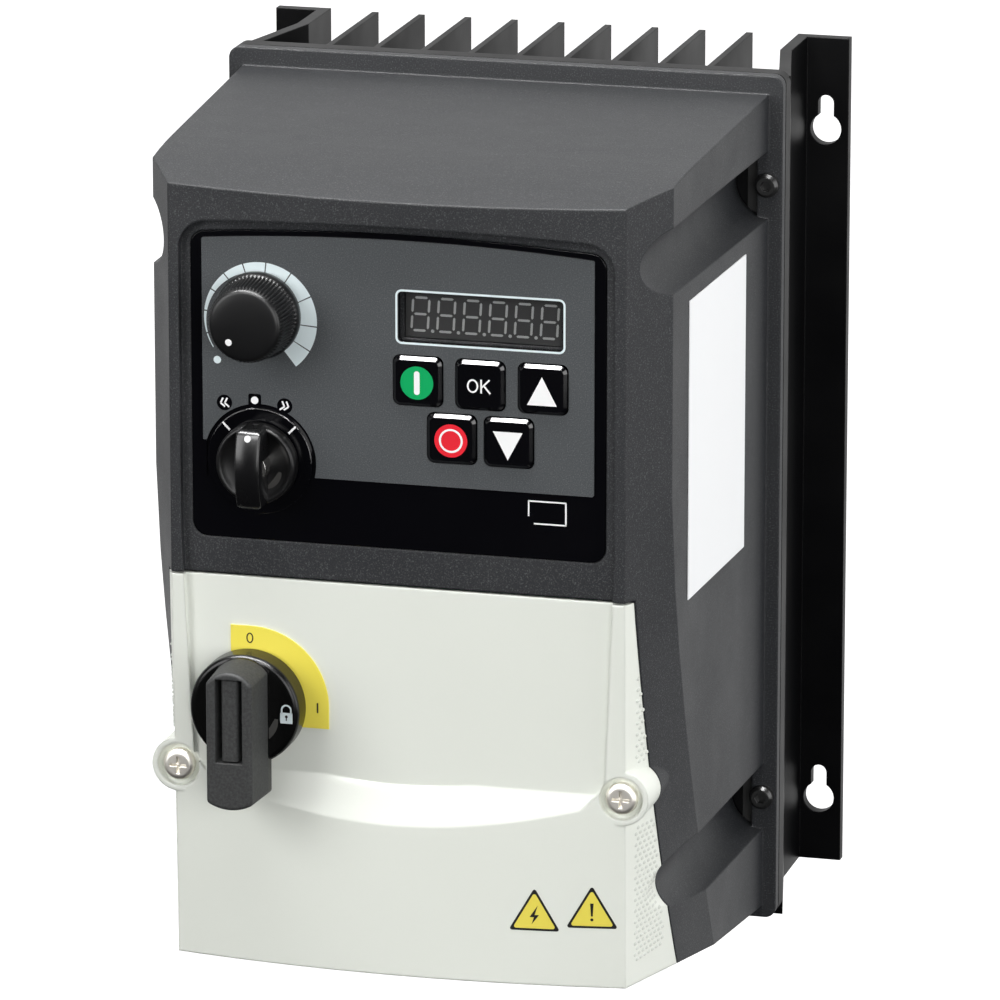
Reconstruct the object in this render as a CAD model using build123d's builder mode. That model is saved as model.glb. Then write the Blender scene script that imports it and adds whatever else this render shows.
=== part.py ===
"""Sealed wall-mounted variable frequency drive with local controls.

Frame: +Z up, the front faces -Y, +X is to the right seen from the front.
Y = 0 is the wall. X = 0, Z = 0 is the centre of the four wall keyholes.
Depths are given as distances from the wall, so a point at depth d has Y = -d.
"""

import os

from build123d import *

# ---------------------------------------------------------------- driving sizes (mm)
# heatsink casting
EARS_WIDTH = 161.0
EAR_THICK = 3.2
EAR_TOP = 119.7
EAR_BOTTOM = -112.3
HOLE_SPACING_X = EARS_WIDTH - 12.5
HOLE_SPACING_Z = 189.0
KEY_HOLE_R = 4.25
KEY_SLOT_R = 2.15
KEY_SLOT_RISE = 7.2
EAR_FLANGE = 11.6
WEB_THICK = 3.2
WEB_STRAIGHT = 22.0
FIN_COUNT = 9
FIN_THICK = 1.8
FIN_TIP_DEPTH = 1.8
BASE_BACK = 54.0
BASE_THICK = 5.0
BASE_CORNER = 3.0
# housing
FLANGE_WIDTH = EARS_WIDTH - 9.0
FLANGE_TOP = EAR_TOP + 1.6
FLANGE_BOTTOM = EAR_BOTTOM + 1.6
FLANGE_THICK = 3.0
WALL = 3.0
FRONT = 168.8
PAD_THICK = 5.0
TOP_BULGE = 3.8
BOTTOM_BULGE = 6.8
BOTTOM_LEAN = 2.8
SIDE_HALF_REAR = EARS_WIDTH / 2 - 8.0
SIDE_HALF_FRONT = SIDE_HALF_REAR - 3.6
FRONT_HALF = SIDE_HALF_REAR - 12.2
CHEEK_DEPTH = FRONT - 15.0
CHEEK_START = 30.0
CHEEK_RATE = 0.0279
CHEEK_POWER = 1.5
CORNER_SHARE = 0.7
CHEEK_SHARE = 0.3
NOSE_LEAN = 0.26
SIDE_LEVELS = [CHEEK_START, 5.5, -12.0, -30.0, -48.0, -65.0, -82.0]
SEAM_STEPS = [(4.0, 5.5), (14.6, -46.0), (35.2, -102.0), (42.0, -120.0)]
TOP_REAR = EAR_TOP - 3.3
TOP_SLOPE = 0.047
TOP_BEND_DEPTH = FRONT - 33.8
TOP_FRONT = EAR_TOP - 12.3
BOTTOM_REAR = EAR_BOTTOM + 4.0
BOTTOM_FRONT = EAR_BOTTOM + 14.0
SEAM = 5.5
# covers and seals
COVER_WALL = 3.6
GASKET = 0.6
SEAL_INSET = 1.0
# control panel
BAND_DEPTH = FRONT - 1.9
BAND_HALF = FRONT_HALF - 2.8
PANEL_HALF = BAND_HALF - 2.7
PANEL_TOP = TOP_FRONT - 11.8
PANEL_ARCH = 2.2
PANEL_BOTTOM = 15.2
PANEL_THICK = 2.0
PANEL_PROUD = 0.2
OVERLAY_THICK = 0.4
OVERLAY_INSET = 3.0
POT_X = -36.6
POT_Z = 74.9
SELECTOR_Z = 36.2
SELECTOR_CUT_R = 15.0
WINDOW_X = 22.0
WINDOW_Z = 76.6
WINDOW_W = 43.4
WINDOW_H = 13.2
BUTTON = 12.8
BUTTON_GAP = 0.3
BUTTON_PROUD = 1.2
BUTTON_TRAVEL = 0.8
BUTTONS = {
    "button_start": (5.55, 60.1),
    "button_enter": (22.0, 60.1),
    "button_up": (38.45, 60.1),
    "button_stop": (14.5, 45.5),
    "button_down": (29.5, 45.5),
}
SHAFT_R = 3.0
SHAFT_GAP = 0.05
CLEAR = 0.4
# isolator
ISO_X = -39.3
ISO_Z = -28.8
ISO_DISC_R = 14.7
ISO_DISC_THICK = 7.0
LEVER_WIDTH = 12.2
LEVER_UP = 13.8
LEVER_DOWN = 23.0
LEVER_ARCH = 3.2
LEVER_FOOT = 1.8
LEVER_ROOT = 1.7
LEVER_FRONT = FRONT + 19.7
TONGUE_WIDTH = 4.6
LEGEND_R = 20.6
LEGEND_TAB = 5.6
# screws
BOSS_X = FRONT_HALF - 1.0
BOSS_Z = -47.0
BOSS_R = 7.2
COVER_RECESS_R = 5.7
FLANGE_SCREW_X = EARS_WIDTH / 2 - 8.5
CHANNEL_R = 9.2
CHANNEL_TOP_Z = 92.0
CHANNEL_LOW_Z = -76.6
# glands
GLAND_R = 11.1
GLAND_PITCH = 38.0
GLAND_DEPTH = 96.0
GLAND_BOSS_R = 14.5

# screw fits and heads
FIT = 0.05
SCREW_SHANK_R = 2.0
FLANGE_HEAD_R = 3.2
FLANGE_HEAD_H = 2.4
COVER_SCREW_R = 2.0
COVER_HEAD_R = 4.2
COVER_HEAD_H = 2.6
COVER_SCREW_TIP = FRONT - 34.8
SMALL_SCREW_R = 1.25
# inside the housing
SHELF_BACK = FRONT - 28.8
PANEL_CORNER = 4.0
MODULE_W = 41.0
MODULE_H = 11.6
POT_BUSH_R = 4.5
SELECTOR_BUSH_R = 8.0
CONTROL_FRONT = FRONT - 15.2
CONTROL_THICK = 1.6
POST_R = 3.0
BOARD_POSTS = [(-49.0, 14.0), (47.0, 14.0), (-1.0, 92.0), (-1.0, 14.0)]
GLAND_FACE = BOTTOM_REAR + 0.3
GLAND_LENGTH = 8.0
BEZEL_R = 14.0
BEZEL_THICK = 1.0
KNOB_SKIRT_R = 11.4
KNOB_BODY_R = 10.4
KNOB_CAP_R = 9.4
KNOB_FRONT = FRONT + 12.2
KNOB_GAP = 0.5
SELECTOR_BASE_R = 10.6
SELECTOR_BASE_H = 4.0
SELECTOR_BAR_W = 6.6
SELECTOR_BAR_L = 21.0
SELECTOR_FRONT = FRONT + 11.2
SELECTOR_SHAFT_R = 4.0
SWITCH_TOP = CONTROL_FRONT + 4.7
CAP_BACK = CONTROL_FRONT + 6.8
CAP_LIP = 0.6
LIP_THICK = 1.1
STEM_R = 2.0
STEM_BACK = CAP_BACK - 0.9
# isolator details
ISO_SHAFT_R = 4.0
ISO_BODY_W = 27.0
ISO_BODY_BACK = FRONT - 46.8
ISO_FLOOR_GAP = 0.8
TONGUE_SLOT_LOW = -10.0
TONGUE_SLOT_HIGH = 11.6
TONGUE_FRONT = LEVER_FRONT - 0.8
PADLOCK_R = 2.4
PADLOCK_FROM_TIP = 3.8
TONGUE_GAP = 1.3
# power electronics on the base
PAD_SHEET = 0.4
MODULE_FOOT = (62.0, 44.0, 12.0)
POWER_BOARD_BACK = BASE_BACK + 24.0
POWER_BOARD_THICK = 1.6
POWER_BOARD_W = FLANGE_WIDTH - 40.0
POWER_BOARD_LOW = -66.0
POWER_BOARD_HIGH = 76.0
STANDOFF_R = 3.5
STANDOFFS = [(-50.0, -60.0), (50.0, -60.0), (-50.0, 70.0), (50.0, 70.0)]
CAP_R = 13.0
CAP_LENGTH = 46.0
CAPACITORS = [(-40.0, 52.0), (-11.0, 52.0), (18.0, 52.0)]

FROM_END = (Align.CENTER, Align.CENTER, Align.MIN)

os.makedirs("parts", exist_ok=True)


# ---------------------------------------------------------------- helpers
def at_depth(d):
    """A sketch plane facing the front at distance d from the wall (x = X, y = Z)."""
    return Plane.XZ.offset(d)


def write(solid, name):
    solid.label = name
    export_step(solid, f"parts/{name}.step")


def cheek_depth(z):
    """Depth of the edge between side wall and cheek: it falls back below CHEEK_START."""
    return CHEEK_DEPTH - CHEEK_RATE * max(0.0, CHEEK_START - z) ** CHEEK_POWER


def front_depths(z):
    """Depth of the front at its corners and at the middle, at height z."""
    if z >= SEAM:
        share = (z - SEAM) / (TOP_FRONT - SEAM)
        return FRONT, FRONT + 0.1 + TOP_BULGE * share
    share = (SEAM - z) / (SEAM - BOTTOM_FRONT)
    corner = FRONT - BOTTOM_LEAN * share
    return corner, corner + 0.1 + BOTTOM_BULGE * share


def side_half(d):
    slope = (SIDE_HALF_REAR - SIDE_HALF_FRONT) / (CHEEK_DEPTH - BASE_BACK)
    return SIDE_HALF_FRONT + slope * (CHEEK_DEPTH - d)


def body_form(inset, back):
    """The moulded body's outer form, moved inwards by inset, from depth back forwards."""
    levels = [EAR_TOP + 4, *SIDE_LEVELS, EAR_BOTTOM - 4]
    with BuildPart() as form:
        for z in levels:
            corner, middle = front_depths(z)
            cheek = cheek_depth(z)
            xc = FRONT_HALF - CORNER_SHARE * inset
            xs = side_half(cheek) - inset
            xr = side_half(back) - inset
            with BuildSketch(Plane.XY.offset(z)):
                with BuildLine():
                    Line((-xr, -back), (xr, -back))
                    Line((xr, -back), (xs, -cheek + CHEEK_SHARE * inset))
                    Line((xs, -cheek + CHEEK_SHARE * inset), (xc, -corner + inset))
                    ThreePointArc((xc, -corner + inset), (0, -middle + inset), (-xc, -corner + inset))
                    Line((-xc, -corner + inset), (-xs, -cheek + CHEEK_SHARE * inset))
                    Line((-xs, -cheek + CHEEK_SHARE * inset), (-xr, -back))
                make_face()
        loft(ruled=True)
        reach = FRONT + TOP_BULGE + BOTTOM_BULGE
        bend_z = TOP_REAR - TOP_SLOPE * (TOP_BEND_DEPTH - BASE_BACK - BASE_THICK) - inset
        nose_d = FRONT + TOP_BULGE + 0.1
        low_slope = (BOTTOM_FRONT - BOTTOM_REAR) / (FRONT - BASE_BACK)
        with BuildSketch(Plane.YZ):
            with BuildLine():
                top_rear = (-back, bend_z + TOP_SLOPE * (TOP_BEND_DEPTH - back))
                l1 = Line(top_rear, (-TOP_BEND_DEPTH, bend_z))
                l2 = TangentArc(l1 @ 1, (-nose_d, TOP_FRONT - inset), tangent=l1 % 1)
                l3 = Line(l2 @ 1, (-reach, TOP_FRONT - inset - NOSE_LEAN * (reach - nose_d)))
                l4 = Line(l3 @ 1, (-reach, BOTTOM_FRONT + inset + low_slope * (reach - FRONT)))
                l5 = Line(l4 @ 1, (-back, BOTTOM_FRONT + inset - low_slope * (FRONT - back)))
                Line(l5 @ 1, top_rear)
            make_face()
        extrude(amount=EARS_WIDTH, both=True, mode=Mode.INTERSECT)
    return form.part


def cover_region(step):
    """Everything in front of the parting line between housing and cover, less a step."""
    z_top = SEAM - step
    with BuildPart() as region:
        with BuildSketch(Plane.YZ):
            with BuildLine():
                start, middle, end, foot = [(-FRONT + back - step, z) for back, z in SEAM_STEPS]
                l1 = Line((-FRONT - 40, z_top), (start[0], z_top))
                l2 = ThreePointArc(l1 @ 1, middle, end)
                l3 = Line(l2 @ 1, (foot[0], EAR_BOTTOM - 8))
                l4 = Line(l3 @ 1, (-FRONT - 40, EAR_BOTTOM - 8))
                Line(l4 @ 1, l1 @ 0)
            make_face()
        extrude(amount=EARS_WIDTH, both=True)
    return region.part


def panel_outline(half, bottom, top_ends, arch, corner):
    """A face on a depth plane: straight sides and bottom, a gently arched top, round corners."""
    with BuildSketch() as face:
        with BuildLine():
            Line((-half, bottom), (half, bottom))
            Line((half, bottom), (half, top_ends))
            ThreePointArc((half, top_ends), (0, top_ends + arch), (-half, top_ends))
            Line((-half, top_ends), (-half, bottom))
        make_face()
        fillet(face.vertices(), corner)
    return face.sketch


def lever_outline(half, up, down):
    """The isolator lever seen from the front: straight sides, an arched top and a slightly arched foot."""
    with BuildSketch() as face:
        with BuildLine():
            top, foot = ISO_Z + up - LEVER_ARCH, ISO_Z - down + LEVER_FOOT
            Line((ISO_X - half, foot), (ISO_X - half, top))
            ThreePointArc((ISO_X - half, top), (ISO_X, top + LEVER_ARCH), (ISO_X + half, top))
            Line((ISO_X + half, top), (ISO_X + half, foot))
            ThreePointArc((ISO_X + half, foot), (ISO_X, foot - LEVER_FOOT), (ISO_X - half, foot))
        make_face()
        fillet(face.vertices(), 1.2)
    return face.sketch


def cylinder(x, z, radius, back, front):
    """A private cylinder along the depth, between two depths."""
    upright = Cylinder(radius, front - back, align=FROM_END, mode=Mode.PRIVATE)
    return Pos(x, -back, z) * Rot(90, 0, 0) * upright


def block(x, z, width, height, back, front):
    """A private box centred at x, z, between two depths."""
    return Pos(x, -(back + front) / 2, z) * Box(width, front - back, height, mode=Mode.PRIVATE)


# ---------------------------------------------------------------- derived depths and places
BASE_FRONT = BASE_BACK + BASE_THICK
FLANGE_BACK = BASE_FRONT + GASKET
FLANGE_FRONT = FLANGE_BACK + FLANGE_THICK
PANEL_FRONT = BAND_DEPTH + PANEL_PROUD
PANEL_BACK = PANEL_FRONT - PANEL_THICK
OVERLAY_FRONT = PANEL_FRONT + OVERLAY_THICK
PAD_BACK = BAND_DEPTH - PAD_THICK
CORNERS = [(sx * FLANGE_SCREW_X, z) for sx in (-1, 1) for z in (CHANNEL_TOP_Z, CHANNEL_LOW_Z)]
LOW_CORNERS = [place for place in CORNERS if place[1] < SEAM]
BOSSES = [(sx * BOSS_X, BOSS_Z) for sx in (-1, 1)]
GLANDS = [-GLAND_PITCH, 0.0, GLAND_PITCH]

# ================================================================ heatsink and wall fixing
WEB_OUT = EARS_WIDTH / 2 - EAR_FLANGE
WEB_IN = WEB_OUT - WEB_THICK
FLANGE_HALF = FLANGE_WIDTH / 2
EAR_HEIGHT = EAR_TOP - EAR_BOTTOM
FIN_PITCH = 2 * WEB_IN / (FIN_COUNT + 1)
FLANGE_HEIGHT = FLANGE_TOP - FLANGE_BOTTOM
FLANGE_MID = (FLANGE_TOP + FLANGE_BOTTOM) / 2

with BuildPart() as heatsink:
    with BuildSketch(Plane.XY.offset(EAR_BOTTOM)) as side_web:
        with BuildLine():
            Polyline(
                (EARS_WIDTH / 2, 0),
                (WEB_IN, 0),
                (WEB_IN, -WEB_STRAIGHT),
                (FLANGE_HALF - WEB_THICK, -BASE_BACK),
                (FLANGE_HALF, -BASE_BACK),
                (WEB_OUT, -WEB_STRAIGHT),
                (WEB_OUT, -EAR_THICK),
                (EARS_WIDTH / 2, -EAR_THICK),
                close=True,
            )
        make_face()
        mirror(about=Plane.YZ)
    extrude(amount=EAR_HEIGHT)
    with BuildSketch(Plane.XY.offset(EAR_BOTTOM)):
        with GridLocations(FIN_PITCH, 0, FIN_COUNT, 1):
            with Locations((0, -(FIN_TIP_DEPTH + BASE_BACK) / 2)):
                Rectangle(FIN_THICK, BASE_BACK - FIN_TIP_DEPTH)
    extrude(amount=EAR_HEIGHT)
    with BuildSketch(at_depth(BASE_BACK)):
        with Locations((0, FLANGE_MID)):
            RectangleRounded(FLANGE_WIDTH, FLANGE_HEIGHT, BASE_CORNER)
    extrude(amount=BASE_THICK)
    with BuildSketch(at_depth(0)):
        with GridLocations(HOLE_SPACING_X, HOLE_SPACING_Z, 2, 2):
            Circle(KEY_HOLE_R)
            with Locations((0, KEY_SLOT_RISE / 2)):
                SlotCenterToCenter(KEY_SLOT_RISE, 2 * KEY_SLOT_R, rotation=90)
    extrude(amount=EAR_THICK, mode=Mode.SUBTRACT)
    with BuildSketch(at_depth(BASE_BACK)):
        with Locations(*CORNERS):
            Circle(SCREW_SHANK_R + FIT)
    extrude(amount=BASE_THICK, mode=Mode.SUBTRACT)
write(heatsink.part, "heatsink")

# ================================================================ housing
OUTER = body_form(0.0, FLANGE_BACK)
INNER = body_form(WALL, BASE_BACK)
FRONT_OF_SEAM = cover_region(0.0)
COVER_ZONE = cover_region(GASKET)
SEAL_OUTER = body_form(SEAL_INSET, FLANGE_BACK)
COVER_INNER = body_form(COVER_WALL, BASE_BACK)
LEDGE_RATIO = 2.56
BAND_LOW = -46.5
BAND_BOTTOM = -63.0
BAND_WAIST = 2.6
BAND_KNEE = -44.5
BAND_TURN = 6.5
LEDGE_REACH = 12.0
COVER_SEAT = FRONT - 3.0
COVER_PAD_BACK = BAND_DEPTH - COVER_WALL
GASKET_NIP = 0.3
TONGUE_FLOOR = BAND_DEPTH + OVERLAY_THICK + ISO_FLOOR_GAP + 6.0
OVERLAY_LOW = 32.6
OVERLAY_STEP = 4.6
GASKET_OPEN_W = FLANGE_WIDTH - 20.0
GASKET_OPEN_H = FLANGE_HEIGHT - 29.9

with BuildPart() as band_tool:
    with BuildSketch(at_depth(BAND_DEPTH)):
        with BuildLine():
            band_top = PANEL_TOP + 3.0
            low_half = BAND_HALF - BAND_WAIST
            turn_half = low_half - BAND_TURN
            Polyline((-low_half, BAND_KNEE), (-BAND_HALF, PANEL_BOTTOM), (-BAND_HALF, band_top))
            ThreePointArc((-BAND_HALF, band_top), (0, band_top + PANEL_ARCH), (BAND_HALF, band_top))
            Polyline((BAND_HALF, band_top), (BAND_HALF, PANEL_BOTTOM), (low_half, BAND_KNEE))
            Polyline((low_half, BAND_KNEE), (turn_half, BAND_KNEE - BAND_TURN))
            ThreePointArc((turn_half, BAND_KNEE - BAND_TURN), (0, BAND_BOTTOM), (-turn_half, BAND_KNEE - BAND_TURN))
            Polyline((-turn_half, BAND_KNEE - BAND_TURN), (-low_half, BAND_KNEE))
        band_face = make_face()
        fillet(band_face.vertices().filter_by_position(Axis.Y, band_top - 1, band_top + 1), 8.0)
        fillet(band_face.vertices().filter_by_position(Axis.Y, BAND_BOTTOM, BAND_KNEE + 1), 5.0)
    extrude(amount=LEDGE_REACH)
    with BuildSketch(Plane.YZ):
        with BuildLine():
            Polyline(
                (-BAND_DEPTH, BAND_LOW),
                (-BAND_DEPTH - LEDGE_REACH, BAND_LOW - LEDGE_REACH * LEDGE_RATIO),
                (-BAND_DEPTH, BAND_LOW - LEDGE_REACH * LEDGE_RATIO),
                close=True,
            )
        make_face()
    extrude(amount=FLANGE_WIDTH, both=True, mode=Mode.SUBTRACT)
BAND = band_tool.part

with BuildPart() as housing:
    add(OUTER)
    add(INNER, mode=Mode.SUBTRACT)
    # thicker walls round the screwdriver channels, seats for the bosses and the pad behind the panel
    with BuildPart(mode=Mode.PRIVATE) as stiffening:
        for x, z in CORNERS:
            add(cylinder(x, z, CHANNEL_R + WALL, FLANGE_BACK, FRONT))
        for x, z in BOSSES:
            add(cylinder(x, z, BOSS_R, FRONT - 40, FRONT))
        with BuildSketch(at_depth(PAD_BACK)):
            add(panel_outline(BAND_HALF + 1.0, SEAM, PANEL_TOP + 4.0, PANEL_ARCH, 3.0))
        extrude(amount=PAD_THICK)
        add(block(0, SEAM + WALL / 2, 2 * SIDE_HALF_REAR, WALL, SHELF_BACK, FRONT))
        add(OUTER, mode=Mode.INTERSECT)
        for x, z in BOSSES:
            add(cylinder(x, z, BOSS_R, FRONT - 40, FRONT))
    add(stiffening.part)
    for x, z in CORNERS:
        add(cylinder(x, z, CHANNEL_R, FLANGE_BACK, FRONT + 20), mode=Mode.SUBTRACT)
    # flange
    with BuildPart(mode=Mode.PRIVATE) as flange:
        with BuildSketch(at_depth(FLANGE_BACK)):
            with Locations((0, FLANGE_MID)):
                RectangleRounded(FLANGE_WIDTH, FLANGE_HEIGHT, BASE_CORNER)
        extrude(amount=FLANGE_THICK)
        add(INNER, mode=Mode.SUBTRACT)
    add(flange.part)
    with BuildSketch(at_depth(FLANGE_BACK)):
        with Locations(*CORNERS):
            Circle(SCREW_SHANK_R + FIT)
    extrude(amount=FLANGE_THICK, mode=Mode.SUBTRACT)
    # gland bosses and holes
    for x in GLANDS:
        with BuildSketch(Plane.XY.offset(GLAND_FACE)):
            with Locations((x, -GLAND_DEPTH)):
                Circle(GLAND_BOSS_R)
        extrude(amount=GLAND_LENGTH)
    for x in GLANDS:
        with BuildSketch(Plane.XY.offset(GLAND_FACE)):
            with Locations((x, -GLAND_DEPTH)):
                Circle(GLAND_R)
        extrude(amount=GLAND_LENGTH, mode=Mode.SUBTRACT)
    # the cover's space and the recesses in the front
    add(FRONT_OF_SEAM, mode=Mode.SUBTRACT)
    add(BAND, mode=Mode.SUBTRACT)
    with BuildSketch(at_depth(PANEL_BACK)):
        add(panel_outline(PANEL_HALF + 0.15, PANEL_BOTTOM - 0.15, PANEL_TOP + 0.15, PANEL_ARCH, PANEL_CORNER))
    extrude(amount=PANEL_THICK + 2, mode=Mode.SUBTRACT)
    # openings behind the panel
    with BuildSketch(at_depth(PAD_BACK)):
        with Locations(*BUTTONS.values()):
            Rectangle(BUTTON + 2 * BUTTON_GAP, BUTTON + 2 * BUTTON_GAP)
        with Locations((WINDOW_X, WINDOW_Z)):
            Rectangle(MODULE_W + 0.4, MODULE_H + 0.4)
        with Locations((POT_X, POT_Z)):
            Circle(POT_BUSH_R + 0.1)
        with Locations((POT_X, SELECTOR_Z)):
            Circle(SELECTOR_BUSH_R + 0.1)
    extrude(amount=PAD_THICK, mode=Mode.SUBTRACT)
    # posts for the control board and bores for the cover screws
    for x, z in BOARD_POSTS:
        add(cylinder(x, z, POST_R, CONTROL_FRONT, PAD_BACK))
        add(cylinder(x, z, SMALL_SCREW_R + FIT, CONTROL_FRONT, PAD_BACK), mode=Mode.SUBTRACT)
    for x, z in BOSSES:
        add(cylinder(x, z, COVER_SCREW_R + FIT, COVER_SCREW_TIP - 1, FRONT), mode=Mode.SUBTRACT)
write(housing.part, "housing")

# ================================================================ seals between the castings
with BuildPart() as housing_gasket:
    with BuildSketch(at_depth(BASE_FRONT)):
        with Locations((0, FLANGE_MID)):
            RectangleRounded(FLANGE_WIDTH - 2 * SEAL_INSET, FLANGE_HEIGHT - 2 * SEAL_INSET, BASE_CORNER)
            RectangleRounded(GASKET_OPEN_W, GASKET_OPEN_H, BASE_CORNER, mode=Mode.SUBTRACT)
        with Locations(*CORNERS):
            Circle(SCREW_SHANK_R + FIT, mode=Mode.SUBTRACT)
    extrude(amount=GASKET)
write(housing_gasket.part, "housing_gasket")

with BuildPart() as cover_gasket:
    add(SEAL_OUTER)
    add(INNER, mode=Mode.SUBTRACT)
    add(cover_region(GASKET_NIP), mode=Mode.INTERSECT)
    add(COVER_ZONE, mode=Mode.SUBTRACT)
    for x, z in CORNERS:
        add(cylinder(x, z, CHANNEL_R + SEAL_INSET, FLANGE_BACK, FRONT + 20), mode=Mode.SUBTRACT)
    with BuildSketch(at_depth(BAND_DEPTH - SEAL_INSET)):
        Rectangle(2 * BAND_HALF, EAR_HEIGHT)
    extrude(amount=LEDGE_REACH, mode=Mode.SUBTRACT)
    for x, z in BOSSES:
        add(cylinder(x, z, BOSS_R + CLEAR, COVER_SCREW_TIP, FRONT), mode=Mode.SUBTRACT)
seal_strips = sorted(cover_gasket.part.solids(), key=lambda strip: strip.volume)
write(seal_strips[-1], "cover_gasket")

# ================================================================ screws that hold the housing
with BuildPart() as housing_screws:
    with BuildSketch(at_depth(FLANGE_FRONT)):
        with Locations(*CORNERS):
            Circle(FLANGE_HEAD_R)
    extrude(amount=FLANGE_HEAD_H)
    chamfer(housing_screws.faces().sort_by(Axis.Y)[:4].edges(), 0.8)
    with BuildSketch(at_depth(FLANGE_FRONT + FLANGE_HEAD_H)):
        with Locations(*CORNERS):
            RegularPolygon(1.5, 6)
    extrude(amount=-1.4, mode=Mode.SUBTRACT)
    with BuildSketch(at_depth(BASE_BACK + 0.5)):
        with Locations(*CORNERS):
            Circle(SCREW_SHANK_R)
    extrude(amount=FLANGE_FRONT - BASE_BACK - 0.5)
write(housing_screws.part, "housing_screws")

# ================================================================ control panel
with BuildPart() as control_panel:
    with BuildSketch(at_depth(PANEL_BACK)):
        add(panel_outline(PANEL_HALF, PANEL_BOTTOM, PANEL_TOP, PANEL_ARCH, PANEL_CORNER))
        with Locations(*BUTTONS.values()):
            RectangleRounded(BUTTON + 2 * BUTTON_GAP, BUTTON + 2 * BUTTON_GAP, 2.0, mode=Mode.SUBTRACT)
        with Locations((WINDOW_X, WINDOW_Z)):
            RectangleRounded(WINDOW_W + 2 * FIT, WINDOW_H + 2 * FIT, 1.2, mode=Mode.SUBTRACT)
        with Locations((POT_X, POT_Z)):
            Circle(POT_BUSH_R + 0.1, mode=Mode.SUBTRACT)
        with Locations((POT_X, SELECTOR_Z)):
            Circle(SELECTOR_BUSH_R + 0.1, mode=Mode.SUBTRACT)
    extrude(amount=PANEL_THICK)
write(control_panel.part, "control_panel")

with BuildPart() as panel_overlay:
    with BuildSketch(at_depth(PANEL_FRONT)):
        add(panel_outline(PANEL_HALF - OVERLAY_INSET, OVERLAY_LOW, PANEL_TOP - 1.4, PANEL_ARCH, 0.6))
        with Locations((POT_X, SELECTOR_Z)):
            Circle(SELECTOR_CUT_R, mode=Mode.SUBTRACT)
            with Locations((-SELECTOR_CUT_R, -SELECTOR_CUT_R)):
                Rectangle(2 * SELECTOR_CUT_R, 2 * SELECTOR_CUT_R - 2 * OVERLAY_STEP, mode=Mode.SUBTRACT)
            with Locations((0, -SELECTOR_CUT_R)):
                Rectangle(2 * OVERLAY_STEP, 2 * SELECTOR_CUT_R, mode=Mode.SUBTRACT)
        with Locations(*BUTTONS.values()):
            RectangleRounded(BUTTON + 2 * BUTTON_GAP, BUTTON + 2 * BUTTON_GAP, 2.0, mode=Mode.SUBTRACT)
        with Locations((WINDOW_X, WINDOW_Z)):
            RectangleRounded(WINDOW_W + 2 * FIT, WINDOW_H + 2 * FIT, 1.2, mode=Mode.SUBTRACT)
        with Locations((POT_X, POT_Z)):
            Circle(POT_BUSH_R + 2.5, mode=Mode.SUBTRACT)
    extrude(amount=OVERLAY_THICK)
write(max(panel_overlay.part.solids(), key=lambda piece: piece.volume), "panel_overlay")

with BuildPart() as display_window:
    with BuildSketch(at_depth(PANEL_BACK)):
        with Locations((WINDOW_X, WINDOW_Z)):
            RectangleRounded(WINDOW_W, WINDOW_H, 1.2)
    extrude(amount=PANEL_THICK + OVERLAY_THICK / 2)
write(display_window.part, "display_window")

with BuildPart() as display_module:
    with BuildSketch(at_depth(CONTROL_FRONT)):
        with Locations((WINDOW_X, WINDOW_Z)):
            Rectangle(MODULE_W, MODULE_H)
    extrude(amount=PANEL_BACK - 0.6 - CONTROL_FRONT)
write(display_module.part, "display_module")

for name, (x, z) in BUTTONS.items():
    with BuildPart() as button:
        with BuildSketch(at_depth(CAP_BACK)):
            with Locations((x, z)):
                RectangleRounded(BUTTON + 2 * CAP_LIP, BUTTON + 2 * CAP_LIP, 1.5)
        extrude(amount=LIP_THICK)
        with BuildSketch(at_depth(CAP_BACK + LIP_THICK)):
            with Locations((x, z)):
                RectangleRounded(BUTTON, BUTTON, 2.0)
        extrude(amount=OVERLAY_FRONT + BUTTON_PROUD - CAP_BACK - LIP_THICK)
        chamfer(button.faces().sort_by(Axis.Y)[0].edges(), 0.8)
        with BuildSketch(at_depth(STEM_BACK)):
            with Locations((x, z)):
                Circle(STEM_R)
        extrude(amount=CAP_BACK - STEM_BACK)
    write(button.part, name)

# ================================================================ control board
with BuildPart() as control_board:
    with BuildSketch(at_depth(CONTROL_FRONT - CONTROL_THICK)):
        with Locations((-1.0, 53.0)):
            RectangleRounded(104.0, 86.0, 3.0)
        with Locations(*BOARD_POSTS):
            Circle(SMALL_SCREW_R + FIT, mode=Mode.SUBTRACT)
        with Locations((POT_X, POT_Z)):
            Circle(3.5, mode=Mode.SUBTRACT)
        with Locations((POT_X, SELECTOR_Z)):
            Circle(6.0, mode=Mode.SUBTRACT)
    extrude(amount=CONTROL_THICK)
write(control_board.part, "control_board")

with BuildPart() as control_board_screws:
    head_front = CONTROL_FRONT - CONTROL_THICK
    with BuildSketch(at_depth(head_front - 1.8)):
        with Locations(*BOARD_POSTS):
            Circle(2 * SMALL_SCREW_R)
    extrude(amount=1.8)
    with BuildSketch(at_depth(head_front)):
        with Locations(*BOARD_POSTS):
            Circle(SMALL_SCREW_R)
    extrude(amount=CONTROL_THICK + 5.0)
write(control_board_screws.part, "control_board_screws")

with BuildPart() as tact_switches:
    with BuildSketch(at_depth(CONTROL_FRONT)):
        with Locations(*BUTTONS.values()):
            Rectangle(6.0, 6.0)
    extrude(amount=3.4)
    with BuildSketch(at_depth(CONTROL_FRONT + 3.4)):
        with Locations(*BUTTONS.values()):
            Circle(1.7)
    extrude(amount=SWITCH_TOP - CONTROL_FRONT - 3.4)
write(tact_switches.part, "tact_switches")

with BuildPart() as microcontroller:
    with BuildSketch(at_depth(CONTROL_FRONT - CONTROL_THICK - 1.6)):
        with Locations((22.0, 34.0)):
            Rectangle(14.0, 14.0)
    extrude(amount=1.6)
write(microcontroller.part, "microcontroller")

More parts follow.
